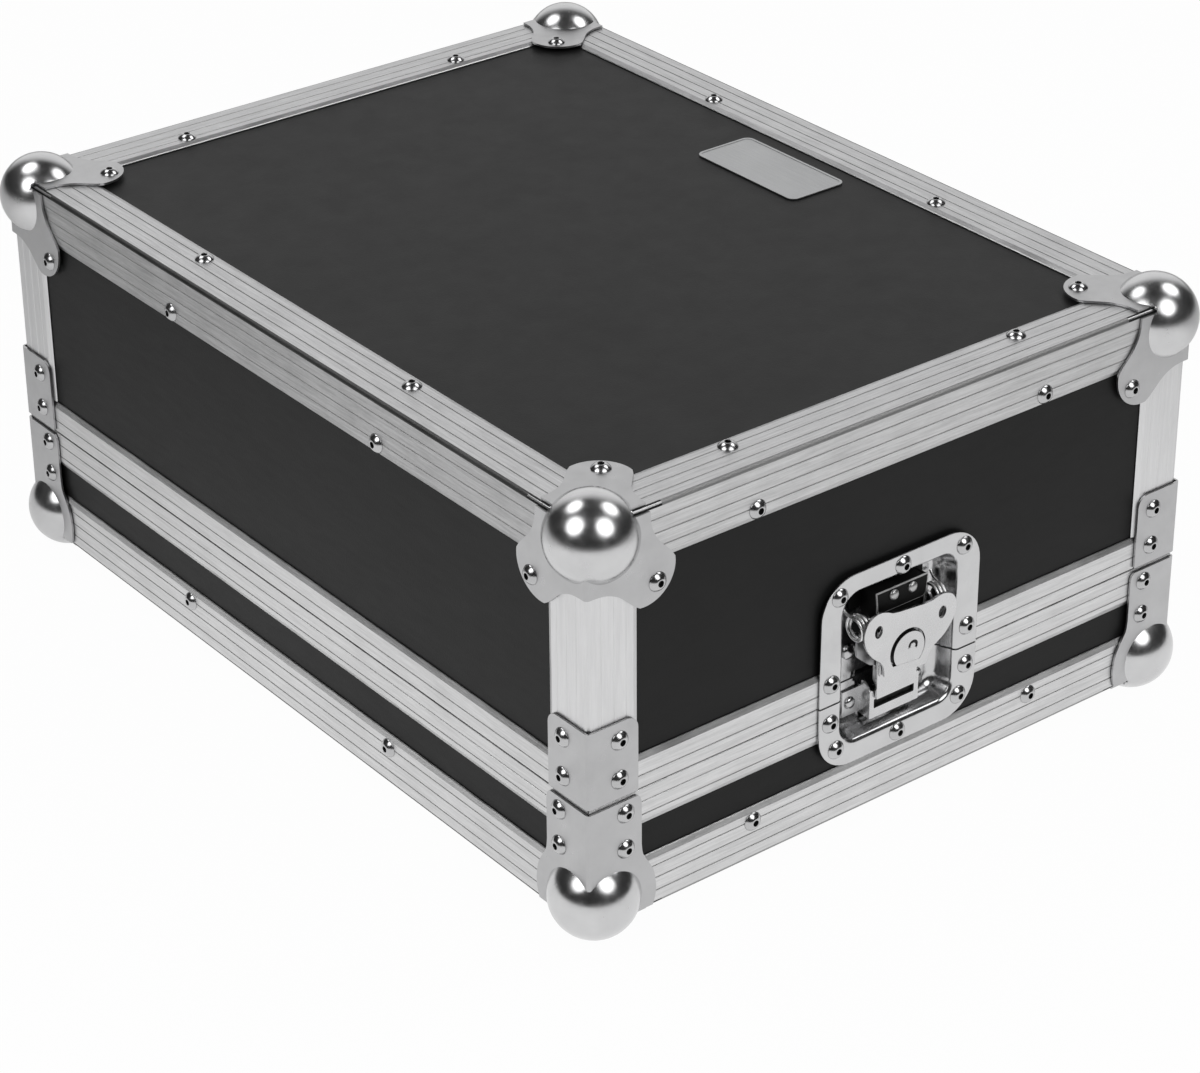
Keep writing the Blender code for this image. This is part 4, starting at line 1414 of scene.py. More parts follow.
@dataclass(frozen=True)
class CornerSheet:
    """Sheet steel folded round a corner, drawn with the case's faces in the planes at zero."""

    out: float = 1.5
    back: float = 0.3
    fold: float = 2.2
    rim: float = 0.35

    def lobe(self) -> Outline:
        """Draw one face of a three-way plate, alike along both of its edges.

        Returns:
            Its points.
        """
        flare = flowing([(35.9, -1.5), (36.0, 5.0), (37.0, 11.0), (40.2, 17.6), (45.2, 23.2),
                         (49.6, 27.9)], 3)[:-1]
        tip = arc((32.3, 32.3), 18.3, -8, 98, 16)
        far = [(b, a) for a, b in reversed(flare)]
        return [(-5, -5), (35.9, -5)] + flare + tip + far + [(-5, 35.9)]

    def leg(self) -> Outline:
        """Draw a base corner's upright face, with its leg up to the seam.

        Returns:
            Its points.
        """
        side = flowing([(35.4, -1.5), (37.8, 3.0), (39.2, 9.0), (39.2, 14.5), (37.8, 22.0),
                        (34.4, 28.5), (31.4, 34.0), (30.6, 40.0)], 4)
        top = [(30.6, 64.0), (29.9, 66.6), (28.0, 68.2), (-5, 68.2)]
        return [(-5, -5), (35.4, -5)] + side + top

    def brace(self, width: float, foot: float, height: float, bend: float = 6.5) -> Outline:
        """Draw a lid brace's upright face, between two heights and with one round corner."""
        tip = arc((width - bend, height - bend), bend, 0, 90, 8)
        return [(-5, foot), (width, foot)] + tip + [(-5, height)]

    def folded(self, upright: Outline, flat: Outline | None) -> Solid:
        """Return the sheet with round folds and soft rims.

        Args:
            upright: The outline of both upright faces, as (along, up) points.
            flat: The outline of the level face, if it has one.

        Returns:
            The folded sheet.
        """
        out = self.out
        block = Solid.box((-out, -out, -out if flat else -40.0), (95, 95, 95))

        def at_fold(edge: Edge) -> bool:
            """Tell whether an edge is one of the folds."""
            low = [sum(vert.co[k] for vert in edge.verts) / 2 < -out + 0.01 for k in range(3)]
            return sum(low) == 2 if flat else low[0] and low[1]

        block.softened(self.fold, 5, where=at_fold)
        inside = (-self.back, -self.back, -self.back if flat else -60)
        walls = block.cut(Solid.box(inside, (120, 120, 120)))
        faces = [(upright, Axis.X), (upright, Axis.Y)] + ([(flat, Axis.Z)] if flat else [])
        first, *others = [Solid.slab(outline, -9, 0.4, axis) for outline, axis in faces]
        return walls.kept(first.joined(*others)).softened(self.rim, 2, 50.0)


@dataclass(frozen=True)
class CornerHardware:
    """Ball corners, and the braces over the lid's lower corners."""

    sheet: CornerSheet = CornerSheet()
    ball_radius: float = 22.8
    ball_in: float = 12.3
    rivet_in: float = 40.0
    leg_rivet_in: float = 21.0
    leg_rivets: tuple[float, float] = (61.0, 41.0)
    slot_from: float = 26.0
    slot_to: float = 44.0
    slot_width: float = 2.0
    brace_width: float = 28.6
    brace_foot: float = 1.2
    brace_height: float = 43.0
    brace_rivet_in: float = 17.5
    brace_rivets: tuple[float, float] = (33.0, 11.5)

    def upright(self, places: Iterable[Pair]) -> list[Place]:
        """Set rivets on both upright faces.

        Args:
            places: Their (in, up) places on a face.

        Returns:
            Their (point, normal) pairs.
        """
        out = self.sheet.out
        made = []
        for across, height in places:
            made.append((Vector((across, -out, height)), Vector((0, -1, 0))))
            made.append((Vector((-out, across, height)), Vector((-1, 0, 0))))
        return made

    def ball_corner(self, name: str, body: str, move: Matrix, upright: Outline,
                    places: Iterable[Pair]) -> None:
        """Make a ball corner with its rivets.

        Args:
            name: The CAD node that it stands for.
            body: The CAD body that it moves with.
            move: Takes it from where it is drawn to its corner.
            upright: The outline of its upright faces.
            places: (in, up) rivet places on its upright faces.
        """
        middle = (self.ball_in,) * 3
        shell = self.sheet.folded(upright, self.sheet.lobe())
        ball = Solid.ball(middle, self.ball_radius, 72, 36)
        inside = Solid.box((-self.sheet.back,) * 3, (90, 90, 90))
        near, far, width = self.slot_from, self.slot_to, self.slot_width
        slots = [Solid.box((near, -6, -6), (far, width, width)),
                 Solid.box((-6, near, -6), (width, far, width))]
        shell.joined(ball).cut(inside, *slots)
        for face in shell.bm.faces:
            away = (face.calc_center_median() - Vector(middle)).length
            face.material_index = int(abs(away - self.ball_radius) < 0.3)
        shell.moved(move).piece(f"{name}_pressing", CORNER_STEEL, body, [name], [BALL_STEEL],
                                CORNER_SHARP)
        level = Vector((self.rivet_in, self.rivet_in, -self.sheet.out))
        spots = [(level, Vector((0, 0, -1))), *self.upright(places)]
        RIVETS.set_in(f"{name}_rivets", spots, body, move)

    def brace(self, corner: Corner) -> None:
        """Make the folded plate over a lid's lower corner.

        Args:
            corner: The corner.
        """
        face = self.sheet.brace(self.brace_width, self.brace_foot, self.brace_height)
        move = PLAN.corner(corner, PLAN.seam)
        name = f"lid_corner_brace_{corner.word}"
        sheet = self.sheet.folded(face, None).moved(move)
        sheet.piece(f"{name}_pressing", CORNER_STEEL, "lid", [name], sharp=CORNER_SHARP)
        spots = self.upright([(self.brace_rivet_in, z) for z in self.brace_rivets])
        RIVETS.set_in(f"{name}_rivets", spots, "lid", move)

    def build(self) -> None:
        """Make every corner's hardware."""
        leg_places = [(self.leg_rivet_in, z) for z in self.leg_rivets]
        for corner in Corner:
            self.ball_corner(f"base_ball_corner_{corner.word}", "base", PLAN.corner(corner, 0.0),
                             self.sheet.leg(), leg_places)
            self.ball_corner(f"lid_ball_corner_{corner.word}", "lid",
                             PLAN.corner(corner, PLAN.height, -1), self.sheet.lobe(),
                             [(self.rivet_in, self.rivet_in)])
            self.brace(corner)


# Pressed dishes, latches and the handle

@dataclass(frozen=True)
class Pressing:
    """A pressed dish: a flat rim round a drafted recess with round lips and floor."""

    low: Pair
    high: Pair
    corner: float
    recess_low: Pair
    recess_high: Pair
    recess_corner: float
    depth: float
    draft: float
    face: float
    side: Side
    openings: tuple[tuple[Pair, Pair], ...] = ()
    opening_corner: float = 2.0
    lip: float = 3.0
    fillet: float = 6.0
    thickness: float = 1.2
    sheet_share: float = 0.92
    bend_steps: int = 6

    def ring(self, low: Pair, high: Pair, radius: float, grow: float, level: float) -> list[Vector]:
        """Draw a rounded rectangle at a depth behind the rim.

        Args:
            low: Its lowest corner.
            high: Its highest corner.
            radius: Its round corners' radius.
            grow: How far it is grown all round.
            level: The depth.

        Returns:
            Its points.
        """
        corners = rounded((low[0] - grow, low[1] - grow), (high[0] + grow, high[1] + grow),
                          max(radius + grow, 1.0), 10)
        return [PLAN.point(a, self.face + level, b, self.side) for a, b in corners]

    def shell(self) -> Solid:
        """Draw the dish's front surface.

        Returns:
            The open shell.
        """
        def outer(grow: float, level: float) -> list[Vector]:
            """Return a ring of the rim's outline."""
            return self.ring(self.low, self.high, self.corner, grow, level)

        def inner(grow: float, level: float) -> list[Vector]:
            """Return a ring of the recess's outline."""
            return self.ring(self.recess_low, self.recess_high, self.recess_corner, grow, level)

        loops = [outer(0.0, self.thickness), outer(0.0, 0.5), outer(-0.15, 0.15),
                 outer(-0.5, 0.0)]
        turns = [math.radians(90 * k / self.bend_steps) for k in range(self.bend_steps + 1)]
        lip, fillet = self.lip, self.fillet
        loops += [inner(lip - lip * math.sin(t), lip - lip * math.cos(t)) for t in turns]
        loops += [inner(-self.draft - fillet * (1 - math.cos(t)),
                        self.depth - fillet + fillet * math.sin(t)) for t in turns]
        holes = [
            [PLAN.point(a, self.face + self.depth, b, self.side)
             for a, b in rounded(low, high, self.opening_corner, 4)]
            for low, high in self.openings
        ]
        return Solid.rings(loops, holes).outward()

    def half(self, seam: float, keep_upper: bool) -> Solid:
        """Return the shell on one side of a level cut."""
        sign = -1 if keep_upper else 1
        return self.shell().trimmed((0, 0, PLAN.up(seam)), (0, 0, sign), fill=False)

    def thick(self, made: bpy.types.Object) -> None:
        """Give a dish its sheet's thickness, behind its front surface.

        Args:
            made: The dish's piece.
        """
        sheet = made.modifiers.new("sheet", "SOLIDIFY")
        sheet.thickness = self.thickness * MM * self.sheet_share
        sheet.offset = -1.0
        made.modifiers.move(len(made.modifiers) - 1, 0)


@dataclass(frozen=True)
class TwistLatch:
    """A recessed twist latch, whose depths count inwards from its dish's rim."""

    side: Side
    pin: Pair = (4.0, 106.0)
    pin_radius: float = 2.0
    pin_half: float = 27.0
    pin_head: float = 2.9
    spin: float = 88.0
    tilt: float = 5.5
    wing_front: float = -5.5
    fold: Pair = (-2.1, 78.6)
    disc_middle: Pair = (1.1, 87.2)
    disc_radius: float = 10.3
    window_radius: float = 11.6
    cam_radius: float = 7.5
    cam_off: float = 2.5
    hook_front: float = 1.5
    hook_half: float = 13.3
    carrier_front: float = 3.6
    carrier_half: float = 20.7
    sheet: float = 1.5
    wire: float = 0.85
    coil_radius: float = 6.2
    coil_drop: float = 0.7
    coil_start: float = 22.4
    coil_end: float = 28.2
    coil_angles: Pair = (280.0, -630.0)
    coil_steps: int = 64
    bridge_drop: float = 7.6
    floor: float = 13.0
    keeper_foot: float = 11.6
    rim_rivets: tuple[Pair, ...] = ((41.0, 129.6), (-41.0, 129.6), (0.0, 133.2), (45.0, 82.0),
                                    (-45.0, 82.0))
    foot_rivets: tuple[Pair, ...] = ((45.2, 59.6), (-45.2, 59.6), (41.0, 42.9), (-41.0, 42.9),
                                     (0.0, 37.5))
    floor_rivets: tuple[Pair, ...] = ((-23.0, 86.5), (23.0, 86.5))
    keeper_rivets: tuple[Pair, ...] = ((-22.3, 57.2), (22.3, 57.2))
    mount_rivets: tuple[Pair, ...] = ((-5.6, 118.6), (6.6, 118.6))

    @property
    def word(self) -> str:
        """Return the side's word in the names of the nodes."""
        return self.side.word

    def plate(self, outline: Outline, low: float, high: float,
              holes: Iterable[Outline] = ()) -> Solid:
        """Draw an outline of (along, height) points between two depths behind the rim."""
        return PLAN.panel(outline, low - PLAN.rim_out, high - PLAN.rim_out, self.side, holes)

    def cheeks(self, outline: Outline, low: float, high: float) -> list[Solid]:
        """Draw an outline of (depth, height) points on both sides of the middle."""
        raised = [(d - PLAN.rim_out, z) for d, z in outline]
        return [PLAN.rib(raised, low, high, self.side), PLAN.rib(raised, -high, -low, self.side)]

    def point(self, a: float, depth: float, height: float) -> Vector:
        """Return a latch point as the case's own coordinates."""
        return PLAN.point(a, depth - PLAN.rim_out, height, self.side)

    def rod(self, centre: Pair, radius: float, half: float, sides: int = 20) -> Solid:
        """Return a round bar across the latch."""
        ends = [self.point(a, centre[0], centre[1]) for a in (-half, half)]
        return Solid.tube(ends, radius, sides).softened(radius * 0.2, 2)

    def leaned(self, solid: Solid) -> Solid:
        """Turn a solid about the spindle by the wing's lean at rest.

        Args:
            solid: The solid, drawn upright.

        Returns:
            The same solid.
        """
        centre = self.point(0, 0, self.spin)
        lean = Matrix.Rotation(math.radians(self.tilt), 4, -PLAN.outward(self.side))
        return solid.moved(Matrix.Translation(centre) @ lean @ Matrix.Translation(-centre))

    def places(self, spots: Iterable[Pair], depth: float = 0.0) -> list[Place]:
        """Return rivet places at a depth behind the rim."""
        return [(self.point(a, depth, z), PLAN.outward(self.side)) for a, z in spots]

    def dish(self) -> None:
        """Make both halves of the dish with their rivets."""
        pressing = Pressing(
            low=(-52.3, 31.3), high=(52.3, 139.2), corner=21.0, recess_low=(-37.3, 44.0),
            recess_high=(37.3, 127.6), recess_corner=10.0, depth=self.floor, draft=2.0,
            face=-PLAN.rim_out, side=self.side, openings=(((-18.0, 60.0), (18.0, 82.0)),))
        for body, word, cut, spots in (("lid", "upper", 0.55, self.rim_rivets),
                                       ("base", "lower", -0.45, self.foot_rivets)):
            name = f"{self.word}_dish_{word}"
            half = pressing.half(PLAN.seam + cut, body == "lid")
            pressing.thick(half.piece(f"{name}_pressing", DISH_STEEL, body, [name]))
            RIVETS.set_in(f"{name}_rivets", self.places(spots), body)
        large = Rivets(4.3, 2.4).solid(self.places(self.floor_rivets, self.floor), True)
        large.piece(f"{self.word}_dish_floor_rivets", RIVET_STEEL, "lid")

    def keeper(self) -> None:
        """Make the keeper that the hook reaches into."""
        bar = [(0.0, 49.0), (16.3, 49.0), (16.3, 64.6), (15.6, 65.4), (14.2, 64.6), (13.4, 62.0),
               (0.0, 62.0)]
        mouth = rounded((-13.4, 54.4), (13.4, 59.6), 0.5, 3)
        sunk, foot_face = self.floor - 0.1, self.keeper_foot
        wall = [(sunk, 49.6), (3.5, 49.3), (3.4, 63.6), (5.0, 66.4), (8.4, 69.4), (9.6, 69.0),
                (10.2, 66.0), (sunk, 66.0)]
        foot = [(foot_face, 50.0), (sunk, 50.0), (sunk, 64.5), (foot_face, 64.5)]
        made = self.plate(mirrored(bar), 3.3, 4.6, [mouth])
        made.joined(*self.cheeks(wall, 15.0, 16.25), *self.cheeks(foot, 15.6, 27.0))
        name = f"{self.word}_keeper"
        made.softened(0.35, 2).piece(name, LATCH_STEEL, "base")
        # This near-black plate behind the keeper's mouth is painted shadow inside the keeper.
        back = self.plate(rounded((-14.9, 50.2), (14.9, 61.8), 1.0, 3), 5.6, 6.2).softened(0.15, 1)
        back.piece(f"{name}_back", PAINTED_SHADOW, "base")
        rivets = Rivets(3.4, 1.9).solid(self.places(self.keeper_rivets, foot_face), True)
        rivets.piece(f"{name}_rivets", RIVET_STEEL, "base")

    def mount(self) -> None:
        """Make the black bracket, its rivets and the hinge pin."""
        pad = self.plate(mirrored([(0.0, 110.3), (14.2, 110.3), (16.2, 112.2), (17.3, 122.8),
                                   (0.0, 122.8)]), 0, self.sheet).softened(0.6, 2)
        # The top flange is in the bracket's black; it also hides the lit recess wall above the pad,
        # so that gap shows dark as shade makes it.
        top = self.plate(rectangle((-15.9, 121.4), (15.9, 122.3)), 0.6, 12.2)
        cheek = [(0.2, 122.6), (0.2, 114.0), (0.6, 102.6), (2.4, 100.9), (5.6, 100.9),
                 (7.6, 102.6), (12.7, 110.7), (12.7, 122.6)]
        foot = [(11.5, 111.5), (12.6, 111.5), (12.6, 122.3), (11.5, 122.3)]
        sides = [solid.softened(0.3, 2) for solid in self.cheeks(cheek, 15.2, 16.6)]
        made = pad.with_parts(top, *sides, *self.cheeks(foot, 15.5, 24.0))
        front = PLAN.outward(self.side)
        # The bracket's bevelled faces take the pale finish: a painted highlight along its edges.
        for face in made.bm.faces:
            face.material_index = int(0.2 < face.normal.dot(front) < 0.95)
        name = f"{self.word}_latch_mount"
        made.piece(f"{name}_bracket", BLACK_STEEL, "lid", [name], [EDGE_HIGHLIGHT])
        # The pin and its heads take the bracket's black, as the CAD mount has; the black also
        # stands in for the shade that hides the pin behind the wing.
        rod = self.rod(self.pin, self.pin_radius, self.pin_half)
        for sign in (-1, 1):
            ends = [self.point(sign * a, *self.pin)
                    for a in (self.pin_half - 1.6, self.pin_half + 0.3)]
            rod.with_parts(Solid.tube(ends, self.pin_head, 24).softened(0.6, 3))
        rod.piece(f"{self.word}_latch_pin", BLACK_STEEL, "lid")
        rivets = Rivets(2.9, 1.7, 0.8, 24).solid(self.places(self.mount_rivets), True)
        rivets.piece(f"{self.word}_mount_rivets", PIN_STEEL, "lid")

    def spring(self) -> None:
        """Make the double torsion spring: two coils on the pin, joined behind the carrier."""
        depth, z = self.pin[0], self.pin[1] - self.coil_drop
        start, end = self.coil_start, self.coil_end
        first, last = self.coil_angles
        low, top = z - self.bridge_drop, z + self.coil_radius
        route = [(0.0, 6.5, low), (10.0, 6.5, low), (18.6, 6.5, low), (20.4, 6.5, low + 0.2),
                 (21.3, 6.2, low + 0.8)]
        for i in range(self.coil_steps + 1):
            turn = math.radians(first + (last - first) * i / self.coil_steps)
            route.append((start + (end - start) * i / self.coil_steps,
                          depth + self.coil_radius * math.cos(turn),
                          z + self.coil_radius * math.sin(turn)))
        route += [(end + 0.2, 5.6, top + 0.1), (end + 0.6, 8.2, top + 0.8),
                  (end + 1.0, 10.2, top + 2.0), (end + 1.2, 11.4, top + 3.4)]
        route = [(-a, b, c) for a, b, c in reversed(route[1:])] + route
        made = Solid.tube([self.point(*p) for p in route], self.wire, 10)
        name = f"{self.word}_latch_spring"
        made.piece(f"{name}_wire", WIRE_STEEL, "lid", [name], sharp=SOFT_SHARP)

    def carrier(self) -> None:
        """Make the hinged plate with its ears round the pin."""
        w, front = self.carrier_half, self.carrier_front
        back = front + self.sheet
        side = flowing([(16.4, 80.6), (18.2, 81.9), (23.4, 86.4), (25.0, 88.2), (25.5, 90.4),
                        (25.3, 96.8)], 3)
        outline = mirrored([(0, 80.0), (14.6, 80.0)] + side + [(24.5, 98.0), (0, 98.0)])
        ear = [(front + 0.1, 87.0), (back - 0.1, 87.0), (back, 99.5)] + flowing(
            [(8.0, 102.5), (8.3, 106.0), (7.0, 109.0), (4.0, 110.2), (1.0, 109.0), (-0.3, 106.0),
             (0.6, 102.6), (front, 99.0)], 4)
        tab = [(self.hook_front, 84.0), (front + 1, 83.0), (front + 1, 93.0),
               (self.hook_front, 92.0)]
        made = self.plate(outline, front, back, [circle((0, self.spin), 5.4)])
        made.joined(*self.cheeks(ear, w - 1.5, w - 0.05), *self.cheeks(tab, 13.7, 15.2))
        made.cut(Solid.tube([self.point(a, *self.pin) for a in (-30, 30)], 2.3, 24))
        made.softened(0.25, 2, 50.0)
        name = f"{self.word}_latch_carrier"
        made.piece(f"{name}_plate", CARRIER_STEEL, f"{self.word}_carrier", [name])

    def hook(self) -> None:
        """Make the sliding hook plate with the cam's window and its stiffening lips."""
        w = self.hook_half
        cam = self.spin + self.cam_off
        wide, tall = self.cam_radius + self.cam_off + 0.4, self.cam_radius + 1.0
        outline = mirrored([(0, 60.3), (w - 0.4, 60.3), (w, 60.7), (w, 99.0), (w - 3, 102.0),
                            (0, 102.0)])
        made = self.plate(outline, self.hook_front, self.hook_front + self.sheet,
                          [rounded((-wide, cam - tall), (wide, cam + tall), 2.0, 5)])
        near = self.hook_front + 0.1
        lip = [(near, 61.2), (near, 79.4), (near + 3.5, 79.4), (near + 3.5, 70.6),
               (near + 1.2, 67.8), (near + 1.2, 62.6)]
        made.joined(*self.cheeks(lip, w - 1.25, w - 0.05)).softened(0.3, 2)
        name = f"{self.word}_latch_hook"
        made.piece(f"{name}_plate", LATCH_STEEL, f"{self.word}_hook", [name])

    def rotor(self) -> None:
        """Make the spindle with its cam, its head and the ears that hold the wing's pin."""
        def disc(height: float, radius: float, low: float, high: float) -> Solid:
            """Return a flat disc round a height."""
            return self.plate(circle((0, height), radius, 40), low, high).softened(0.3, 2)

        fold_d, fold_z = self.fold
        a, b = self.disc_middle
        face, radius = self.wing_front, self.disc_radius
        dent = (a + 2.4, b + 1.8)
        mark = arc(dent, 3.1, -35, 200, 16) + arc(dent, 1.6, 200, -35, 16)
        head = self.plate(arc((a, b), radius, -41.3, 221.3, 40), face, 0.15)
        head.cut(self.plate(mark, face - 1.0, face + 0.8))
        foot = PLAN.up(b) - radius * 0.6
        head.softened(0.4, 2, 60.0, lambda edge: max(v.co.z for v in edge.verts) > foot)
        # The head's rim and the hollow of its mark take the second finish: painted shadow of the
        # gap round the head and inside the mark.
        for side in head.bm.faces:
            centre = side.calc_center_median() - self.point(a, 0, b)
            away = math.hypot(PLAN.turn(self.side).inverted().to_3x3().row[0].dot(centre), centre.z)
            flat = abs(side.normal.dot(PLAN.outward(self.side))) > 0.5
            in_mark = away < radius - 1.0 and centre.dot(PLAN.outward(self.side)) < -face - 0.3
            side.material_index = int((away > radius - 0.6 and not flat) or in_mark)
        ear = [(0.9, 84.0), (-0.3, 84.0), (-3.2, 81.0)] + arc(
            (fold_d, fold_z), 1.62, 150, 300, 8) + [(0.9, 76.0)]
        ears = [solid.softened(0.25, 2) for solid in self.cheeks(ear, 5.0, 7.0)]
        made = disc(self.spin, 10.3, -0.6, 1.2).with_parts(
            disc(self.spin + self.cam_off, self.cam_radius, 0.9, 3.2),
            disc(self.spin, 4.9, 0.35, 6.0),
            disc(self.spin, 7.0, 5.4, 7.0),
            head,
            *ears,
        )
        name = f"{self.word}_latch_rotor"
        self.leaned(made).piece(f"{name}_spindle", LATCH_STEEL, f"{self.word}_rotor", [name],
                                [PAINTED_SHADOW])

    def wing_outline(self) -> Outline:
        """Draw the wing, from the middle of its foot round to its top.

        Returns:
            Its outline.
        """
        foot = [(0.0, 76.0), (14.0, 76.0)]
        side = flowing([(14.0, 76.0), (14.3, 77.4), (14.8, 80.0), (16.0, 82.8), (18.2, 85.2),
                        (20.8, 87.0), (23.2, 88.8), (25.6, 91.2), (28.2, 94.8), (30.0, 98.6),
                        (30.7, 103.0), (29.6, 108.2), (26.4, 111.8), (21.6, 113.3),
                        (17.2, 112.7), (13.0, 111.2)], 4)
        return mirrored(foot + side[1:] + [(8.0, 110.8), (0.0, 110.8)])

    def wing(self) -> None:
        """Make the folding butterfly wing with its knuckle and pin."""
        front, back = self.wing_front, self.wing_front + self.sheet
        window = arc((0, self.spin), self.window_radius, -41.5, 221.5, 36)
        ear_holes = [[(sign * 21.3 + 2.5 * x, 102.9 + 3.4 * y) for x, y in circle((0, 0), 1.0, 28)]
                     for sign in (-1, 1)]
        sheet = self.plate(self.wing_outline(), front, back, [window, *ear_holes])
        sill = PLAN.up(min(z for _, z in window))
        sheet.softened(0.35, 2, 50.0,
                       lambda edge: any(abs(v.co.z - sill) > 0.05 for v in edge.verts))
        fold_d, _ = self.fold
        web = [(back - 0.5, 77.3), (fold_d, 77.0), (-0.9, 77.7), (-0.9, 79.5), (fold_d, 80.2),
               (back - 0.5, 80.6)]
        raised = [(d - PLAN.rim_out, z) for d, z in web]
        knuckle = PLAN.rib(raised, -4.6, 4.6, self.side).softened(0.2, 2)
        pin = self.rod(self.fold, 0.8, 14.1, 12)
        skirt = [(front + 0.3, 76.2), (-1.6, 76.6), (-1.0, 78.6), (-1.6, 80.6), (back, 84.0),
                 (front + 0.3, 84.0)]
        skirts = [solid.softened(0.2, 2) for solid in self.cheeks(skirt, 12.7, 13.8)]
        for sign in (-1, 1):
            flap = [(sign * 13.0, 75.8), (sign * 15.2, 75.8), (sign * 15.8, 77.0),
                    (sign * 16.4, 85.2), (sign * 13.0, 85.2)]
            skirts.append(self.plate(flap, -3.6, -2.2).softened(0.3, 2))
        name = f"{self.word}_latch_wing"
        made = sheet.with_parts(knuckle, pin, *skirts)
        self.leaned(made).piece(f"{name}_plate", LATCH_STEEL, f"{self.word}_wing", [name])

    def build(self) -> None:
        """Make the whole latch."""
        for step in (self.dish, self.keeper, self.mount, self.spring, self.carrier, self.hook,
                     self.rotor, self.wing):
            step()


@dataclass(frozen=True)
class CarryHandle:
    """The recessed folding handle on the right side."""

    side: Side = Side.RIGHT
    face: float = 0.5
    height: float = 139.4
    half_width: float = 76.0
    half_height: float = 44.0
    recess_half_width: float = 62.0
    recess_half_height: float = 30.0
    depth: float = 11.0
    bail_depth: float = 5.0
    bail_radius: float = 3.5
    bail_half: float = 42.0
    bail_bend: float = 6.5
    bail_tip: float = 54.0
    pivot: float = 162.0
    grip: float = 131.0
    grip_radius: float = 5.5
    grip_half: float = 34.0
    lug_radius: float = 4.9
    lug_ends: Pair = (49.3, 54.7)
    lug_bore: float = 3.8
    ribs: int = 14
    rib_depth: float = 0.55
    rib_margin: float = 6.0
    rivets: tuple[Pair, ...] = ((67.3, 35.4), (-67.3, 35.4), (67.3, -35.4), (-67.3, -35.4),
                                (0.0, 37.2), (0.0, -37.2))

    def point(self, a: float, depth: float, height: float) -> Vector:
        """Return a handle point as the case's own coordinates."""
        return PLAN.point(a, depth, height, self.side)

    def dish(self) -> None:
        """Make the dish with its lugs and rivets."""
        wide, tall = self.recess_half_width, self.recess_half_height
        pressing = Pressing(
            low=(-self.half_width, self.height - self.half_height),
            high=(self.half_width, self.height + self.half_height), corner=10.0,
            recess_low=(-wide, self.height - tall), recess_high=(wide, self.height + tall),
            recess_corner=12.0, depth=self.depth, draft=1.8, face=self.face, side=self.side)
        shell = pressing.shell()
        pressing.thick(shell.piece("handle_dish_pressing", DISH_STEEL, "lid", ["handle_dish"]))
        lugs = Solid()
        foot = self.face + self.depth
        arch = arc((self.bail_depth, self.pivot), self.lug_radius, 90, 270, 16)
        outline = [(foot, self.pivot + self.lug_radius)] + arch + [
            (foot, self.pivot - self.lug_radius)]
        for sign in (-1, 1):
            low, high = sorted(sign * a for a in self.lug_ends)
            lug = PLAN.rib(outline, low, high, self.side)
            bore = [self.point(a, self.bail_depth, self.pivot) for a in (low - 4, high + 4)]
            lugs.with_parts(lug.cut(Solid.tube(bore, self.lug_bore, 28)).softened(0.5, 2, 50.0))
        lugs.piece("handle_lugs", DISH_STEEL, "lid")
        places = [(self.point(a, self.face, self.height + z), PLAN.outward(self.side))
                  for a, z in self.rivets]
        RIVETS.set_in("handle_dish_rivets", places, "lid")

    def bail(self) -> None:
        """Make the steel bail."""
        half, bend = self.bail_half, self.bail_bend
        upper = arc((half + bend, self.pivot - bend), bend, 90, 180, 12)
        lower = arc((half - bend, self.grip + bend), bend, 0, -90, 12)
        line = [(self.bail_tip, self.pivot)] + upper + lower
        line += [(-a, z) for a, z in reversed(line)]
        path = [self.point(a, self.bail_depth, z) for a, z in line]
        made = Solid.tube(path, self.bail_radius, 28).softened(0.6, 3, 60.0)
        made.piece("handle_bail_rod", CORNER_STEEL, "handle", ["handle_bail"], sharp=BAR_SHARP)

    def sleeve(self) -> None:
        """Make the ribbed rubber sleeve round the grip."""
        bore, r, half = self.bail_radius + 0.1, self.grip_radius, self.grip_half
        foot, margin = r - self.rib_depth, self.rib_margin
        profile = [(bore, -half), (r - 1.2, -half), (r - 0.5, -half + 0.3), (r, -half + 1.4),
                   (r, -half + 4.0)]
        span = 2 * (half - margin) / self.ribs
        for i in range(self.ribs):
            z = -half + margin + i * span
            profile += [(foot, z), (foot, z + span * 0.3), (r, z + span * 0.45),
                        (r, z + span * 0.85)]
        profile += [(foot, half - margin), (r, half - 4.0), (r, half - 1.4),
                    (r - 0.5, half - 0.3), (r - 1.2, half), (bore, half), (bore, -half)]
        turn = facing(PLAN.turn(self.side) @ Vector((1, 0, 0)))
        move = Matrix.Translation(self.point(0, self.bail_depth, self.grip)) @ turn
        made = Solid.spun(profile, 40).moved(move)
        made.piece("handle_grip_sleeve", RUBBER, "handle", ["handle_grip"], sharp=BAR_SHARP)

    def build(self) -> None:
        """Make the whole handle."""
        self.dish()
        self.bail()
        self.sleeve()


# Plate, foam and panels

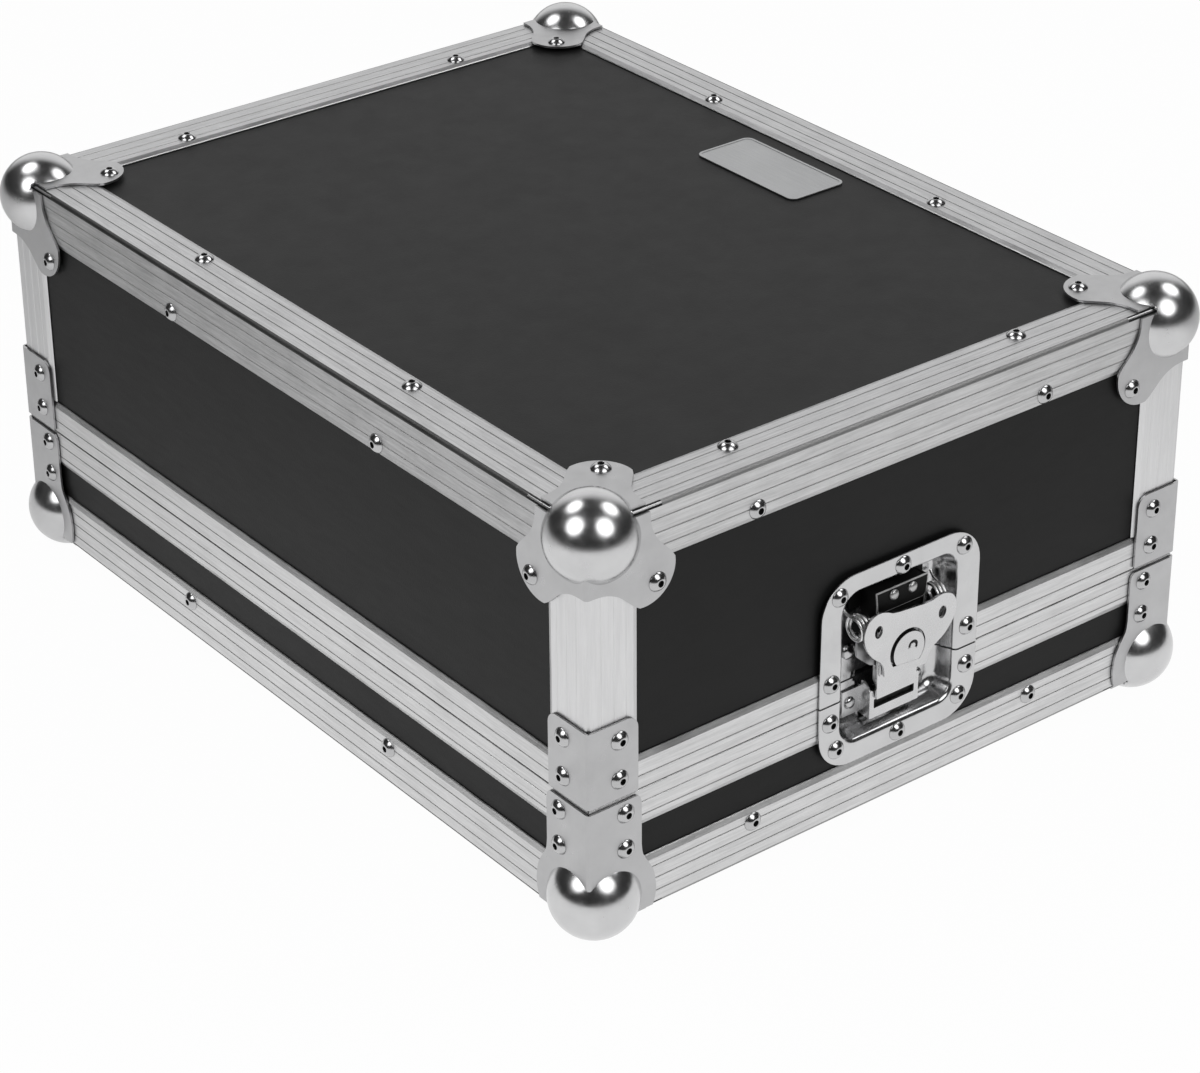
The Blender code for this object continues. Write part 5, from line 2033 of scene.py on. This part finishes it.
@dataclass(frozen=True)
class NamePlate:
    """A plain plate on the lid, with a raised frame and nothing on it."""

    middle: Pair = (135.0, 0.3)
    half_width: float = 19.3
    half_length: float = 41.0
    corner: float = 5.0
    thickness: float = 0.7
    frame_width: float = 1.6
    overlap: float = 0.1
    sink: float = 0.25
    level: float = 218.3

    def outline(self, inset: float) -> Outline:
        """Return the plate's outline, drawn in by some width."""
        (x, y), wide, long = self.middle, self.half_width - inset, self.half_length - inset
        return rounded((x - wide, y - long), (x + wide, y + long), self.corner - inset, 8)

    def build(self) -> None:
        """Make the plate."""
        low = PLAN.up(self.level)
        high = low + self.thickness
        edge = Solid.slab(self.outline(0), low, high, Axis.Z, [self.outline(self.frame_width)])
        inner = self.outline(self.frame_width - self.overlap)
        field = Solid.slab(inner, low, high - self.sink, Axis.Z)
        made = edge.softened(0.15, 2).with_parts(field)
        made.piece("name_plate_blank", PLATE_SATIN, "lid", ["name_plate"])


@dataclass(frozen=True)
class FoamLining:
    """Foam sheets glued into both halves."""

    outer: float = 10.9
    inner: float = 28.9
    joint: float = 0.25
    bed_low: float = 11.0
    bed_top: float = 29.7
    base_top: float = 68.8
    lid_low: float = 71.2
    lid_face: float = 191.0
    lid_top: float = 209.0
    cell: float = 9.0
    edge_round: float = 1.6
    ripple: float = 0.25
    ripple_scale: float = 0.035
    fill: float = 0.95
    pocket_depths: Pair = (5.0, 13.9)
    latch_half: float = 40.3

    def sheet(self, low: Sequence[float], high: Sequence[float], seed: float,
              pocket: Solid | None = None) -> Solid:
        """Draw a foam sheet with soft edges and faces that aren't quite flat.

        Args:
            low: Its lowest corner.
            high: Its highest corner.
            seed: Where its unevenness starts.
            pocket: What is cut out of its outer face.

        Returns:
            The sheet.
        """
        made = Solid.box(low, high)
        for axis in range(3):
            length = high[axis] - low[axis]
            cells = int(length / self.cell)
            for k in range(1, cells):
                where, normal = Vector((0, 0, 0)), Vector((0, 0, 0))
                where[axis] = low[axis] + length * k / cells
                normal[axis] = 1.0
                made.sliced(where, normal)
        made.softened(self.edge_round, 3, 60.0)
        made.bm.normal_update()
        for vert in made.bm.verts:
            ripple = noise.noise(vert.co * self.ripple_scale + Vector((seed, 0, 0)))
            vert.co -= vert.normal * (self.ripple + self.ripple * ripple)
        return made.cut(pocket) if pocket else made

    def pocket(self, half: float, low: float, high: float, side: Side) -> Solid:
        """Return the room behind a dish, drawn at the front."""
        room = PLAN.panel(rectangle((-half, low), (half, high)), *self.pocket_depths, side)
        return room.moved(PLAN.turn(side).inverted())

    def walls(self, body: str, low: float, high: float, pockets: dict[Side, Triple]) -> None:
        """Make the four side sheets of one half.

        Args:
            body: The half's CAD body.
            low: Where they start above the case's underside.
            high: Where they end.
            pockets: Half the width, the foot and the top of the rooms behind the dishes.
        """
        for number, side in enumerate(Side):
            reach = PLAN.half_width(side) - (self.outer if side.short else self.inner + self.joint)
            depth = PLAN.half_depth(side)
            pocket = self.pocket(*pockets[side], side) if side in pockets else None
            sheet = self.sheet((-reach, self.outer - depth, PLAN.up(low)),
                               (reach, self.inner - depth, PLAN.up(high)), 3.7 * number, pocket)
            name = f"{body}_foam_{side.word}_sheet"
            made = sheet.moved(PLAN.turn(side)).piece(name, FOAM, body, sharp=SOFT_SHARP)

    def pad(self, name: str, body: str, node: str, low: float, high: float) -> None:
        """Make the pad on the floor or under the top.

        Args:
            name: The pad's name.
            body: The CAD body that it moves with.
            node: The CAD node that it stands for.
            low: Where it starts above the case's underside.
            high: Where it ends.
        """
        x = PLAN.half_x - self.inner - self.joint
        y = PLAN.half_y - self.inner - self.joint
        sheet = self.sheet((-x, -y, PLAN.up(low)), (x, y, PLAN.up(high)), 11.0)
        sheet.piece(name, FOAM, body, [node], sharp=SOFT_SHARP)

    def build(self) -> None:
        """Make the foam of both halves."""
        latches = (Side.FRONT, Side.REAR)
        base = {side: (self.latch_half, 41.0, 75.0) for side in latches}
        lid = {side: (self.latch_half, 65.0, 130.6) for side in latches}
        lid[Side.RIGHT] = (63.0, 108.4, 170.4)
        self.walls("base", self.bed_low, self.base_top, base)
        self.pad("base_foam_bed_pad", "base", "base_foam_bed", self.bed_low, self.bed_top)
        self.walls("lid", self.lid_low, self.lid_top, lid)
        self.pad("lid_foam_top_pad", "lid", "lid_foam_lining", self.lid_face, self.lid_top)


@dataclass(frozen=True)
class Panels:
    """The laminated boards, which are the CAD model's own."""

    ending: str = "_panel"

    def build(self) -> None:
        """Give every board its laminate."""
        for name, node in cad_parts.items():
            if name.endswith(self.ending):
                node.data.materials.clear()
                node.data.materials.append(LAMINATE.material())


# Studio

WHITE = (1.0, 1.0, 1.0, 1.0)


@dataclass(frozen=True)
class Softbox:
    """A round lamp: the way to it from the case, its distance, size and power."""

    name: str
    way: Triple
    distance: float
    size: float
    power: float
    aim: Triple = (0.0, 0.0, 0.12)

    def build(self) -> None:
        """Hang the lamp, facing the case."""
        lamp = bpy.data.lights.new(self.name, "AREA")
        lamp.shape = "DISK"
        lamp.size = self.size
        lamp.energy = self.power
        made = in_scene(self.name, lamp)
        way = Vector(self.way).normalized()
        made.location = Vector(self.aim) + way * self.distance
        made.rotation_euler = way.to_track_quat("Z", "Y").to_euler()


@dataclass(frozen=True)
class Studio:
    """A pale floor, a dim room with a bright far wall, four softboxes and the camera."""

    lamps: tuple[Softbox, ...] = (
        Softbox("left_low_softbox", (-0.75, -0.09, 0.66), 2.3, 1.5, 15.0),
        Softbox("left_high_softbox", (-0.25, 0.45, 0.85), 2.3, 1.2, 10.0),
        Softbox("right_low_softbox", (0.03, -0.77, 0.64), 2.3, 1.5, 15.0),
        Softbox("right_high_softbox", (0.56, -0.23, 0.79), 2.3, 1.2, 10.0),
    )
    floor_size: float = 30.0
    paper: Triple = (0.88, 0.88, 0.88)
    white_share: float = 0.97
    far_share: float = 0.02
    table_middle: Triple = (-0.45, -0.65, 0.0)
    table_radius: Pair = (0.80, 1.20)
    wall_way: Triple = (0.60, 0.76, 0.25)
    wall_spread: Pair = (0.66, 0.93)
    wall_light: float = 0.95
    room_light: float = 0.035
    camera_place: Triple = (-1.02253, -1.33235, 0.99718)
    camera_right: Triple = (0.78684, -0.61712, -0.00643)
    camera_up: Triple = (0.28829, 0.35833, 0.88797)
    sensor: float = 36.0
    focal: float = 3494.9
    centre_above: float = 132.85
    picture_width: float = 1200.0

    def seen_white(self, graph: Graph) -> Socket:
        """Return the floor's white share: the camera's everywhere, a mirror's only near the case.

        Args:
            graph: The floor's material.

        Returns:
            The share's socket.
        """
        path = graph.add("LightPath").outputs
        away = graph.math("VectorMath", "DISTANCE", graph.place(), self.table_middle)
        near = graph.spread(away, self.white_share, self.far_share, *self.table_radius)
        in_mirror = graph.math("Math", "MAXIMUM", path["Is Glossy Ray"],
                               path["Is Transmission Ray"])
        return graph.math("Math", "MAXIMUM", graph.math("Math", "MULTIPLY", in_mirror, near),
                          graph.math("Math", "MULTIPLY", path["Is Camera Ray"], self.white_share))

    def floor(self) -> None:
        """Lay the floor, which keeps a faint shadow."""
        solid = Solid()
        bmesh.ops.create_grid(solid.bm, x_segments=1, y_segments=1, size=self.floor_size)
        mesh = solid.to_mesh("studio_floor")
        material = bpy.data.materials.new("floor_paper")
        graph = Graph(material)
        graph.set_shader(Base_Color=(*self.paper, 1.0), Roughness=0.9, Specular_IOR_Level=0.1)
        glow = graph.add("Emission", Color=WHITE, Strength=1.0)
        mix = graph.mixed(self.seen_white(graph), graph.nodes["Principled BSDF"], glow)
        graph.set(graph.nodes["Material Output"], Surface=mix)
        mesh.materials.append(material)
        in_scene("studio_floor", mesh)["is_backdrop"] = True

    def room(self) -> None:
        """Make the room: white where the camera sees it, else dim with a bright far wall."""
        world = bpy.data.worlds.new("studio_room")
        bpy.context.scene.world = world
        graph = Graph(world)
        toward = graph.math("VectorMath", "DOT_PRODUCT", graph.add("TexCoord").outputs["Generated"],
                            Vector(self.wall_way).normalized())
        low, high = self.wall_spread
        strength = graph.add("MapRange", {"interpolation_type": "SMOOTHSTEP"}, Value=toward,
                             From_Min=low, From_Max=high, To_Min=self.room_light,
                             To_Max=self.wall_light).outputs["Result"]
        dim = graph.nodes["Background"]
        graph.set(dim, Color=WHITE, Strength=strength)
        path = graph.add("LightPath").outputs
        mix = graph.mixed(path["Is Camera Ray"], dim, graph.add("Background", Color=WHITE))
        graph.set(graph.nodes["World Output"], Surface=mix)

    def camera(self) -> None:
        """Set the camera as the photograph's."""
        lens = bpy.data.cameras.new("photo_camera")
        lens.sensor_width = self.sensor
        lens.lens = self.sensor * self.focal / self.picture_width
        lens.shift_y = -self.centre_above / self.picture_width
        lens.clip_start, lens.clip_end = 0.05, 100.0
        right, up = Vector(self.camera_right), Vector(self.camera_up)
        turn = Matrix((right, up, right.cross(up))).transposed().to_4x4()
        made = in_scene("photo_camera", lens)
        made.matrix_world = Matrix.Translation(self.camera_place) @ turn
        bpy.context.scene.camera = made

    def build(self) -> None:
        """Set up the studio."""
        bpy.context.scene.view_settings.view_transform = "Standard"
        self.floor()
        self.room()
        for lamp in self.lamps:
            lamp.build()
        self.camera()


def main() -> None:
    """Build the case's pieces and the studio, and report each."""
    logging.basicConfig(level=logging.INFO, format="%(message)s")
    parts = [Studio(), Panels(), EdgeFrame(), ClosingBars(), CornerHardware(),
             TwistLatch(Side.FRONT), TwistLatch(Side.REAR), CarryHandle(), NamePlate(),
             FoamLining()]
    for part in parts:
        part.build()
        LOG.info("made %s", type(part).__name__)
    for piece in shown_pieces():
        LOG.info("%s: %d faces", piece.name, len(piece.data.polygons))


if __name__ == "__main__":
    main()
